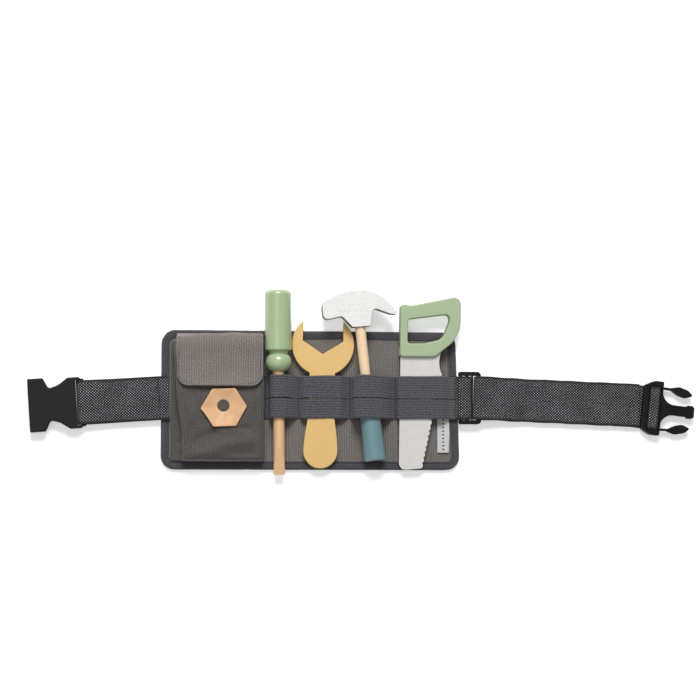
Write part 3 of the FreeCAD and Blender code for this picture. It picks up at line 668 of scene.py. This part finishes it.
# The tape's section, as (distance in from the outline, height): over the front, round the edge,
# along the back and home again inside.
BINDING_SECTION = (
    (8.0, 4.05), (7.4, 4.30), (6.7, 4.38), (6.0, 4.20), (5.3, 4.42), (4.0, 4.62), (2.6, 4.66),
    (1.3, 4.45), (0.45, 3.75), (0.0, 2.6), (0.05, 1.5), (0.5, 0.55), (1.4, 0.12), (3.0, 0.04),
    (5.0, 0.04), (6.8, 0.03), (8.0, 0.08), (8.0, 0.55), (4.6, 0.60), (1.7, 0.72), (0.75, 2.3),
    (1.6, 3.9), (4.4, 4.0), (8.0, 3.6),
)
BINDING_SEAM = 6.15    # its stitches' distance in from the outline


def make_binding():
    """Twill tape folded over the panel's edge, a little uneven where it is stitched."""
    places, outward = outline_line()
    girth = travelled(np.array(BINDING_SECTION))
    count = len(places)
    length = travelled(places)
    pucker = waves(5, 8, 5, 22)
    drift = waves(6, 5, 40, 160)
    points, uv = [], []
    for i in range(count):
        run = length[i] * mm
        for k, (inset, height) in enumerate(BINDING_SECTION):
            front, tip, side = k < 8, k < 2, 7 <= k <= 11
            lift = 0.10 * pucker(run, inset * mm * 2) * front * min(1.0, inset / 2 + 0.2)
            bulge = max(0.10 * pucker(run, 0.5) * side, 0.0)
            push = 0.25 * drift(run, 0) * tip
            place = places[i] - outward[i] * (inset + push + bulge + 0.1 * side)
            points.append((place[0] * mm, place[1] * mm, (height + lift) * mm))
            uv.append((run, girth[k] * mm))
    faces = grid_faces(count, len(girth), cyclic_rows=True, cyclic_columns=True)
    tape_piece = add_mesh("edge_binding_tape", points, faces, uv)
    soften(tape_piece)
    dress(tape_piece, BINDING, "belt")
    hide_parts("edge_binding")

    def ring(inset, height):
        """The outline moved in, at one height."""
        return np.column_stack([(places - outward * inset) * mm, np.full(count, height * mm)])
    low_side = (places[:, 1] < -50) & (outward[:, 1] < -0.9)
    stitches = seam(ring(BINDING_SEAM, 4.28), 3.0, 0.9, closed=True)
    stitches += seam(ring(7.3, 4.36)[low_side], 3.0, 0.9)
    stitches += seam(ring(BINDING_SEAM, 0.2), 3.1, 0.7, normal=(0, 0, -1), closed=True)
    sew("binding_stitches", stitches, THICK_THREAD, DARK_THREAD, "belt", "binding")


# ---- pocket

POCKET_BASE, POCKET_FRONT = 4.75, 17.9


def ridges(x, y, folds):
    """Soft folds of cloth, each (x1, y1, x2, y2, width, height) in millimetres."""
    total = np.zeros(np.broadcast(x, y).shape)
    for x1, y1, x2, y2, width, height in folds:
        dx, dy = x2 - x1, y2 - y1
        length = hypot(dx, dy)
        along = ((x - x1) * dx + (y - y1) * dy) / length
        off = ((x - x1) * dy - (y - y1) * dx) / length
        fade = np.clip(np.minimum(along, length - along) / (length * 0.35) + 0.35, 0, 1)
        fade = fade * fade * (3 - 2 * fade)
        total += height * fade * bell(off, 0, width)
    return total


POCKET_FOLDS = (
    (-108, -55, -76, -40, 6.0, 3.8), (-80, -42, -50, -36, 5.5, 3.2),
    (-116, -42, -84, -29, 5.5, -2.6), (-72, -52, -50, -50, 4.5, -1.3),
    (-69, -26, -56, -27, 2.6, -1.8), (-112, -22, -100, 2, 7.0, 1.6), (-62, -16, -50, 4, 5.5, 1.4),
    (-116, -8, -108, -34, 3.5, -1.2), (-100, 6, -60, 8, 4.0, -0.9),
    (-112, -46, -106, -30, 3.0, 1.0),
)
GUSSET_FOLDS = (
    (-127, -37, -115, -40, 1.6, -1.8), (-128, -33, -116, -31, 2.6, 1.2),
    (-127, -46, -117, -44, 3.0, 0.9), (-128, -14, -119, -20, 4.0, 0.9),
    (-126, 8, -122, -6, 3.0, 0.8),
)
SEWN_LEFT, SEWN_RIGHT, FRONT_RIGHT = -128.3, -43.9, -45.0


def pocket_front_left(y):
    """Where the front meets the gusset on the left: leaning above, upright below."""
    return np.interp(y, (-55, -32, -20, -2, 18, 45, 52),
                     (-116.6, -116.8, -118.6, -121.6, -122.8, -124.4, -124.8))


def pocket_row(y, height):
    """The bag's line at one y, from its sewn left edge over the front to its sewn right edge."""
    left = float(pocket_front_left(y))
    reach = left + 1.1 - SEWN_LEFT
    wall = np.array([0.0, 0.06, 0.2, 0.36, 0.52, 0.68, 0.82, 0.92, 0.98])
    line = [(SEWN_LEFT + reach * sin(w * pi / 2) ** 0.8, w ** 2.2 * 0.82 * height) for w in wall]
    line += [(left + t, (0.9 + 0.1 * min(1, (t + 0.9) / 2.0)) * height)
             for t in (-0.9, -0.5, -0.15, 0.25, 0.7, 1.5, 2.6)]
    start, end = left + 3.2, FRONT_RIGHT - 2.6
    line += [(start + (end - start) * t, height) for t in np.linspace(0, 1, 58)[1:-1]]
    line += [(FRONT_RIGHT - t, (0.9 + 0.1 * min(1, (t + 0.6) / 2.0)) * height)
             for t in (1.6, 0.9, 0.4, 0.15, 0.02)]
    line += [(FRONT_RIGHT + (SEWN_RIGHT - FRONT_RIGHT) * (1 - w), w * 0.88 * height)
             for w in wall[::-1]]
    return [(x, y, POCKET_BASE + z) for x, z in line]


def make_pocket():
    """Boxed canvas pocket: gussets and a front with soft folds."""
    rise = np.array([0.0, 0.05, 0.3, 0.6, 0.82, 0.93, 0.985, 1.0])
    edge_y = np.array([-56.0, -55.9, -55.7, -55.5, -55.2, -54.5, -53.4, -51.9])
    upper_y = np.linspace(-50.4, 51.3, 80)
    ys = np.concatenate([edge_y, upper_y, [51.7, 52.0]])
    heights = (POCKET_FRONT - POCKET_BASE) * np.concatenate([rise, np.ones(len(upper_y) + 2)])
    soft = waves(11, 10, 12, 46)
    grid = np.array([pocket_row(y, height) for y, height in zip(ys, heights)])
    x, y, z = grid[..., 0], grid[..., 1], grid[..., 2]
    loose = np.clip((z - POCKET_BASE) / (POCKET_FRONT - POCKET_BASE) * 4 - 3, 0, 1)
    margin = np.clip(np.minimum(x + 119, -46.5 - x) / 6, 0, 1) * np.clip((y + 54.5) / 5, 0, 1)
    margin *= np.clip((30 - y) / 12, 0.15, 1)
    margin *= np.clip((np.hypot(x + 80.7, y + 8.1) - 19.0) / 5, 0, 1)
    z += loose * margin * (ridges(x, y, POCKET_FOLDS) + 0.16 * soft(x * mm, y * mm))
    z -= loose * 0.5 * bell(y, 47, 10)
    gusset_zone = (x < pocket_front_left(y) - 0.5) & (z > POCKET_BASE + 1)
    z += np.where(gusset_zone, ridges(x, y, GUSSET_FOLDS), 0.0)
    length = np.zeros(x.shape)
    length[:, 1:] = np.cumsum(np.hypot(np.diff(x, axis=1), np.diff(z, axis=1)), axis=1)
    length -= length[:, [40]]
    depth = np.zeros(x.shape)
    climb = np.diff(z, axis=0) * (loose[1:] > 0)
    depth[1:] = np.cumsum(np.hypot(np.diff(y, axis=0), climb), axis=0)
    uv = np.stack([length, depth], axis=2) * mm
    bag = cloth_grid("pocket_bag", grid * mm, 1.0 * mm, uv)
    # The pocket wears the darker canvas, which is painted shade.
    dress(bag, SHADED_POCKET_CANVAS, "belt")
    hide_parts("pocket")
    stitches = []
    for line in ([(-46.6, y, 18.35) for y in np.linspace(-53, 50, 30)],
                 [(x, -54.0, 18.1) for x in np.linspace(-113, -48, 24)]):
        stitches += seam(np.array(line) * mm, 2.8, 0.9)
    sew("pocket_stitches", stitches, THICK_THREAD, CANVAS_THREAD, "belt", "canvas")


STITCH_INSET = 2.4    # of the flap's seam from its edge


def flap_sag(x, y):
    """How far the flap stands above its flat shape: a swell by the fold, a lifted low edge."""
    lifted = np.clip((25 - y) / 13, 0, 1) ** 2
    return 1.5 * bell(y, 50, 8) + 2.2 * lifted * (0.6 + 0.4 * np.cos((x + 84) / 14))


def make_flap():
    """Two layers of canvas sewn round the edge; it folds over the pocket from the top seam."""
    left, right, low, fold = -124.0, -45.3, 11.4, 59.0
    radius, height = 11.0, 20.75
    route, length = rounded([(fold, 5.1), (fold + 0.2, 14.0, 14.0), (fold - 0.2, height, 2.6),
                             (52.0, height, 20.0), (low, height)], 1.2)
    ys, zs = route[:, 0] / mm, route[:, 1] / mm
    shares = edged(0, 1, 64, 0.004)
    grid = np.zeros((len(shares), len(ys), 3))
    for j in range(len(ys)):
        on_flap = zs[j] > height - 1.5
        beyond = max(radius - (ys[j] - low), 0.0) if on_flap else 0.0
        cut = radius - sqrt(max(radius ** 2 - beyond ** 2, 0.0))
        shrink = 0.0 if on_flap else 1.0
        x0, x1 = left + cut + shrink, right - cut - shrink
        grid[:, j, 0] = x0 + (x1 - x0) * shares
        grid[:, j, 1:] = ys[j], zs[j]
    x, y, z = grid[..., 0], grid[..., 1], grid[..., 2]
    on_flap = z > height - 1.5
    soft = waves(21, 8, 16, 60)
    edge_wave = waves(22, 4, 22, 60)
    lean = np.clip((x - left) / 50, 0, 1)
    z += on_flap * flap_sag(x, y)
    z += on_flap * 0.16 * soft(x * mm, y * mm)
    near_fold = bell(y, fold, 6) * np.clip((z - 11) / 6, 0, 1)
    y += near_fold * 0.35 * edge_wave(x * mm, x * 0)
    middle = (left + right) / 2
    share_x = np.clip((x - left) / (right - left), 0, 1)
    crown = 1 - ((x - middle) / ((right - left) / 2)) ** 2
    y += near_fold * (0.5 * crown - 2.6 * (1 - lean) ** 1.5)
    waist = 1.4 * bell(y, 24, 12) - 0.6 * bell(y, 44, 8)
    x += waist * (1 - share_x)
    to_side = np.minimum(x - left, right - x)
    to_low = np.where(on_flap, y - low, 50.0)
    corner = (to_side < radius) & (to_low < radius)
    round_gap = radius - np.hypot(radius - to_side, radius - to_low)
    inset = np.where(corner, round_gap, np.minimum(to_side, to_low))
    edge_roll, seam_dip = 0.16 * bell(inset, 1.2, 0.7), 0.24 * bell(inset, STITCH_INSET, 0.45)
    relief = on_flap * (edge_roll - seam_dip)
    uv = np.stack([x * mm, np.broadcast_to(length[None, :], x.shape)], axis=2)
    cover = cloth_grid("flap_cover", (grid * mm)[::-1], 1.5 * mm, uv[::-1], (relief * mm)[::-1])
    # The flap wears the lighter canvas, which is painted light.
    dress(cover, LIT_FLAP_CANVAS, None)
    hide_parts("pocket_flap", "flap_riser")
    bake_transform(cover)
    arc = radius - STITCH_INSET
    turns = [(arc * sin(a), arc * cos(a)) for a in np.linspace(0, pi / 2, 9)]
    line = [(left + STITCH_INSET, fold - 3.2)]
    line += [(left + radius - c, low + radius - s) for s, c in turns]
    line += [(right - radius + s, low + radius - c) for s, c in turns]
    line += [(right - STITCH_INSET, fold - 3.2)]
    line = np.array([(px, py, height + 0.66 + flap_sag(px, py)) for px, py in line]) * mm
    sew("flap_stitches", seam(line, 2.8, 0.9), THICK_THREAD, CANVAS_THREAD, "flap", "canvas")


def small_patch(name, node, body, seed):
    """A thin patch of hook and loop tape in place of a CAD node's box, with a fuzzy face."""
    low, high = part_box(node)
    xs = edged(low.x, high.x, 44)
    ys = edged(low.y, high.y, 26)
    x, y = np.meshgrid(xs, ys)
    rough = waves(seed, 12, 1.2, 6)
    grid = np.stack([x, y, np.full(x.shape, (low.z + high.z) / 2)], axis=2)
    relief = 0.07 * mm * rough(x, y)
    patch = cloth_grid(name, grid, (high.z - low.z) * 0.86, np.stack([x, y], axis=2), relief)
    dress(patch, TUFT, body)
    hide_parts(node)


def make_hex_patch():
    """Leather hexagon with a round hole, dished so that its rim stands up a little."""
    centre = np.array([-80.5, -8.0])
    corners = [(20.8, 1.2), (10.4, 17.5), (-10.9, 17.0), (-21.4, -1.0), (-9.8, -17.7),
               (11.2, -16.9)]
    hole, hole_at, base = 5.3, (-0.5, 1.7), 18.0
    shares = [0.0, 0.03, 0.1, 0.22, 0.4, 0.6, 0.8, 0.92, 0.97, 1.0]
    heights = [0.55, 0.85, 1.0, 1.0, 1.0, 1.0, 1.0, 0.98, 0.85, 0.45]
    sag = waves(31, 6, 14, 40)
    sides = 24
    outline = []
    for k in range(6):
        start, end = np.array(corners[k]), np.array(corners[(k + 1) % 6])
        for i in range(sides):
            t = i / sides
            bow = 0.5 * sin(pi * t) * (1 if k == 3 else 0.15)
            point = start + (end - start) * t
            outline.append(point - bow * unit(point))
    outline[::sides] = [point * 0.985 for point in outline[::sides]]
    points, uv = [], []
    layers = list(zip(shares, heights)) + [(share, 0.05) for share in (0.995, 0.6, 0.05)]
    for share, height in layers:
        for rim in outline:
            inner = np.array(hole_at) + hole * unit(rim - hole_at)
            place = inner + (rim - inner) * share
            x, y = centre + place
            twist = 1 + 0.25 * sin(2 * atan2(place[1], place[0]) + 0.4)
            lift = 2.4 * share ** 1.5 * twist + 0.08 * float(sag(x * mm, y * mm))
            points.append((x * mm, y * mm, (base + height + lift) * mm))
            uv.append((place[0] * mm, place[1] * mm))
    faces = grid_faces(len(layers), len(outline), cyclic_rows=True, cyclic_columns=True, flip=True)
    patch = add_mesh("hex_nut_patch", points, faces, uv)
    soften(patch)
    dress(patch, LEATHER, "belt")
    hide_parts("hex_patch")


# ---- bands, label

def band_path(driver_top, hammer_top, saw_top):
    """The line of a band over its four tools, as (x, z[, radius]) in millimetres."""
    base, wrench_top, strap_top = 4.4, 11.7, 8.3
    return [
        (-43.0, base), (-38.6, base, 1.0),
        (-37.2, driver_top + 0.5, 4.5), (-25.4, driver_top + 0.5, 4.5), (-12.9, base, 3.0),
        (-10.4, base, 0.8), (-7.6, wrench_top, 1.8),
        (26.0, wrench_top, 3.0), (33.6, base, 1.2),
        (36.6, base, 1.5), (39.0, hammer_top + 0.5, 7.5), (58.0, hammer_top + 0.5, 8.0),
        (75.2, base, 3.0),
        (79.0, base, 0.8), (79.8, saw_top + 0.5, 1.6),
        (119.3, saw_top + 0.5, 3.0), (126.6, strap_top, 3.0), (133.8, strap_top),
    ]


def make_band(name, node, y_low, y_high, tops, seed):
    """Ribbed elastic over the tools, whose tops are heights in millimetres."""
    def ribs(u, v):
        fade = np.clip((9.0 * mm - np.abs(v)) / mm, 0, 1)
        return 0.05 * mm * np.sin(2 * pi * v / (2.3 * mm)) * fade + 0.05 * mm * rough(u, v)
    rough = waves(seed, 8, 4, 20)
    path = band_path(*tops)
    band = tape(name, path, y_low, y_high, 0.9 * mm, Matrix.Identity(4), step=0.8, across=62,
                wander=0.22, seed=seed, relief=ribs)
    dress(band, ELASTIC, "belt")
    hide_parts(node)
    route = rounded(path, 0.8)[1][-1]


def make_band_stitches():
    """Zigzags that hold both bands down between the tools."""
    stitches = []
    for x, z, width in ((-41.8, 5.0, 0.5), (-39.4, 5.0, 0.4), (-11.6, 5.0, 0.5), (35.2, 5.0, 0.7),
                        (77.4, 5.0, 1.0), (132.6, 8.85, 0.7)):
        for low, high in ((BAND_LOW + 0.8, 0.8), (2.2, BAND_HIGH - 0.8)):
            stitches += zigzag((x * mm, low * mm, z * mm), (x * mm, high * mm, z * mm), width, 0.9)
    sew("band_stitches", stitches, 0.2 * mm, DARK_THREAD, "belt", "elastic", rings=4, sides=5)


def make_label():
    """A plain ribbon with a column of small diamonds."""
    ys = edged(-47.8, -14.6, 40)
    shares = edged(0, 1, 18, 0.02)
    right = np.interp(ys, (-47.8, -30.0, -14.3), (127.0, 127.9, 127.4))
    x = 116.6 + (right[:, None] - 116.6) * shares[None, :]
    y = np.broadcast_to(ys[:, None], x.shape)
    lift = 0.35 * bell(y, -34, 9) * np.clip((x - 117) / 8, 0, 1)
    grid = np.stack([x, y, 4.62 + lift], axis=2) * mm
    label = cloth_grid("side_ribbon", grid, 0.7 * mm, np.stack([x, y], axis=2) * mm)
    dress(label, LABEL, "belt")
    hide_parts("side_label")
    points, faces = [], []
    for k in range(9):
        middle_y = -44.6 + 3.35 * k
        z = 5.02 + 0.35 * bell(middle_y, -34, 9) * 0.6
        first = len(points)
        for half_w, half_h, rise in ((1.3, 1.05, -0.12), (1.1, 0.85, 0.02)):
            for dx, dy in ((half_w, 0), (0, half_h), (-half_w, 0), (0, -half_h)):
                points.append(((122.0 + dx) * mm, (middle_y + dy) * mm, (z + rise) * mm))
        faces += [tuple(range(first + 4, first + 8)), tuple(range(first + 3, first - 1, -1))]
        faces += [(first + i, first + j, first + 4 + j, first + 4 + i)
                  for i, j in ((0, 1), (1, 2), (2, 3), (3, 0))]
    motif = add_mesh("ribbon_motif", points, faces, [(p[0], p[1]) for p in points], smooth=False)
    dress(motif, DARK_THREAD, "belt")


# ---- straps

STRAP_SEAM_HALF = 18.5     # half the width of a seam across a strap
THREAD_LIFT = 0.72         # of a seam above the middle of its webbing


def webbing(name, path, matrix, wander, seed, step=0.9, middle=0.0):
    """A full width of webbing along a path."""
    return tape(name, path, middle - WEBBING_HALF, middle + WEBBING_HALF, WEBBING_T, matrix,
                step=step, across=44, wander=wander, seed=seed)


def cross_seam(x, z, matrix, pitch):
    """A seam across a strap."""
    line = [(x, y, z + THREAD_LIFT) for y in np.linspace(-STRAP_SEAM_HALF, STRAP_SEAM_HALF, 20)]
    return seam(moved(np.array(line) * mm, matrix), pitch, 0.5)


def make_left_webbing():
    """From the seam on the panel, round the buckle's bar and back underneath."""
    matrix = row_frame((-140.4, 0.8, 0.0), 183.6)
    lower, upper, bar_x, bar_z = 5.35, 6.95, 67.4, 5.75
    turn = bar_x + 4.6
    path = [(-10.2, upper), (0.0, upper, 30.0), (38.0, upper, 60.0), (turn, bar_z + 3.4, 3.35),
            (turn, bar_z - 3.4, 3.35), (38.0, lower, 60.0), (0.0, lower, 30.0), (-10.2, lower)]
    strap = webbing("left_webbing", path, matrix, 0.18, 41)
    dress(strap, WEBBING, None)
    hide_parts("left_strap", "left_strap_anchor")
    route = rounded(path, 1.0)[1][-1]
    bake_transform(strap)
    ends = -8.9, -1.6
    stitches = cross_seam(ends[0], upper, matrix, 2.6) + cross_seam(ends[1], upper, matrix, 2.6)
    for y in (-STRAP_SEAM_HALF, STRAP_SEAM_HALF):
        line = [(x, y, upper + THREAD_LIFT) for x in ends]
        stitches += seam(moved(np.array(line) * mm, matrix), 2.2, 0.5)
    sew("left_strap_stitches", stitches, 0.22 * mm, DARK_THREAD, "belt", "webbing")


def make_right_webbing():
    """Round the slider's bar and back underneath, with the spare length sliding below that."""
    matrix = row_frame((155.0, 2.7, 0.0), -2.2)
    bar_z = 7.9
    front, back, spare, tail = 5.55, 3.95, 2.35, 0.77
    turn, end, spare_end = -4.6, 151.7, 148.0
    path = [(end, front), (44.0, front, 60.0), (turn, bar_z + 4.1, 3.85), (turn, bar_z - 3.7, 3.85),
            (40.0, back, 60.0), (end - 2.8, back)]
    strap = webbing("right_webbing", path, matrix, 0.25, 43)
    dress(strap, WEBBING, "right_strap")
    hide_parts("right_strap")
    route = rounded(path, 1.0)[1][-1]
    runner = webbing("spare_webbing", [(spare_end - 77.0, spare), (spare_end, spare)], matrix,
                     0.2, 44)
    dress(runner, WEBBING, "strap_runner")
    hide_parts("strap_extension")
    tuck = webbing("spare_tail", [(spare_end - 20.0, tail), (spare_end, tail)], matrix, 0.2, 45)
    dress(tuck, WEBBING, "strap_runner")
    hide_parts("strap_tail")
    sew("right_strap_stitches", cross_seam(end - 9.0, front, matrix, 2.4), 0.2 * mm, DARK_THREAD,
        "right_strap", "webbing")


def make_tab():
    """The short loop that ties the slider to the panel."""
    upper, lower, over = 6.95, 5.35, 10.4
    bar_right, play, half_ply = 145.6, 0.3, 0.75
    turn = bar_right + play + half_ply
    path = [(128.4, upper), (134.9, upper, 1.2), (135.9, over, 1.6), (turn, over, 1.3),
            (turn, lower, 1.3), (129.4, lower)]
    tab = webbing("tab_webbing", path, Matrix.Identity(4), 0.12, 47, step=0.5, middle=2.7)
    dress(tab, WEBBING, "belt")
    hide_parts("right_tab")
    route = rounded(path, 1.0)[1][-1]


def make_plug_webbing():
    """Over the plug's second bar, and back under the end of the strap."""
    matrix = row_frame((327.2, -6.1, 0.0), -6.6)
    spare, start = 2.35, -24.6
    rise, drop, over = -10.6, -2.8, 8.45
    path = [(start, spare), (rise, spare, 1.0), (rise, over, 1.6), (drop, over, 1.6),
            (drop, 0.77, 1.0), (start, 0.77)]
    loop = webbing("plug_webbing", path, matrix, 0.12, 48, step=0.5)
    dress(loop, WEBBING, None)
    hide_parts("plug_strap_loop")
    route = rounded(path, 1.0)[1][-1]
    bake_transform(loop)


# ---- tools and buckles

def dress_nodes():
    """Finishes of the CAD nodes that stay; the moulded ones also get their edges eased."""
    beech = (236, 198, 150), (208, 164, 114)
    pale_beech = (250, 224, 190), (232, 198, 156)
    driver, hammer, saw = radians(-0.88), radians(-6.5), radians(0.76)
    finishes = {
        "screwdriver_handle": paint_finish("green_gloss", (170, 190, 150), (156, 178, 136), 0.3,
                                           driver, 0.15, coat=0.7),
        "screwdriver_shaft": bare_wood_finish("beech_driver", *beech, driver),
        # The wrench and the saw handle get painted shade on their side walls.
        "wrench": paint_finish("mustard", (229, 192, 124), (214, 174, 104), 0.5,
                               radians(1.39), 0.5, shaded_side_walls=True),
        "hammer_head": silver_finish("hammer_silver", (248, 248, 245), (234, 233, 230)),
        "saw_blade": silver_finish("saw_silver", (228, 225, 221), (214, 211, 207)),
        "hammer_shaft": bare_wood_finish("beech_hammer", *pale_beech, hammer),
        "hammer_grip": paint_finish("teal", (112, 144, 152), (98, 130, 138), 0.5, hammer, 0.3),
        "saw_handle": paint_finish("green_satin", (170, 188, 153), (156, 176, 139), 0.46,
                                   saw, 0.35, shaded_side_walls=True),
    }
    for name in ("strap_slider", "buckle_socket", "buckle_plug", "plug_prong_upper",
                 "plug_prong_lower"):
        finishes[name] = PLASTIC
    for name, finish in finishes.items():
        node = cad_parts[name]
        node.data.materials.clear()
        node.data.materials.append(finish)
        if finish is PLASTIC:
            ease_edges(node)


# ---- studio

def make_studio():
    """Pale floor, even surroundings and two soft lights."""
    corners = [(x, y, -0.0004) for x, y in ((-3, -3), (3, -3), (3, 3), (-3, 3))]
    floor = add_mesh("floor", corners, [(0, 1, 2, 3)], smooth=False)
    f = Finish("pale_floor", 0.9, specular_ior_level=0.1, emission_color=(1.0, 1.0, 1.0, 1.0),
               emission_strength=0.4)
    f.colour((250, 250, 250))
    floor.data.materials.append(f.material)
    world = bpy.data.worlds.new("studio")
    scene.world = world
    world.use_nodes = True
    background = world.node_tree.nodes["Background"]
    background.inputs[0].default_value = (1.0, 1.0, 1.0, 1.0)
    background.inputs[1].default_value = 0.22
    scene.view_settings.view_transform = "Standard"
    for name, place, size, power in (("key", (-0.1, 1.25, 1.45), 0.8, 33.5),
                                     ("fill", (-0.5, -0.4, 1.9), 1.4, 7.0)):
        light = bpy.data.lights.new(name, "AREA")
        light.size = size
        light.energy = power
        lamp = bpy.data.objects.new(name, light)
        lamp.location = place
        lamp.rotation_mode = "QUATERNION"
        aim = Vector((0.03, 0.02, 0)) - Vector(place)
        lamp.rotation_quaternion = aim.to_track_quat("-Z", "Y")
        scene.collection.objects.link(lamp)


def make_camera():
    """Looks at the belt from a little to the left of and below the perpendicular."""
    target = Vector((35.65, 46.46, 5.0)) * mm
    leftward, downward, distance = radians(6), radians(5), 1.79
    back = Vector((-sin(leftward) * cos(downward), -sin(downward), cos(leftward) * cos(downward)))
    camera = bpy.data.objects.new("camera", bpy.data.cameras.new("camera"))
    camera.data.sensor_width = 36
    camera.data.lens = 100
    camera.data.clip_start = 0.05
    camera.location = target + back * distance
    side = Vector((0, 1, 0)).cross(back).normalized()
    camera.rotation_mode = "QUATERNION"
    camera.rotation_quaternion = Matrix((side, back.cross(side), back)).transposed().to_quaternion()
    scene.collection.objects.link(camera)
    scene.camera = camera


make_camera()
make_studio()
make_panel()
make_binding()
make_pocket()
make_flap()
small_patch("loop_patch", "pocket_loop_patch", "belt", 51)
small_patch("hook_patch", "flap_hook_patch", "flap", 52)
make_hex_patch()
make_band("upper_band", "upper_elastic", 1.6, BAND_HIGH, (21.0, 27.2, 13.3), 61)
make_band("lower_band", "lower_elastic", BAND_LOW, 1.2, (19.8, 26.6, 12.6), 62)
make_band_stitches()
make_label()
make_left_webbing()
make_right_webbing()
make_tab()
make_plug_webbing()
dress_nodes()
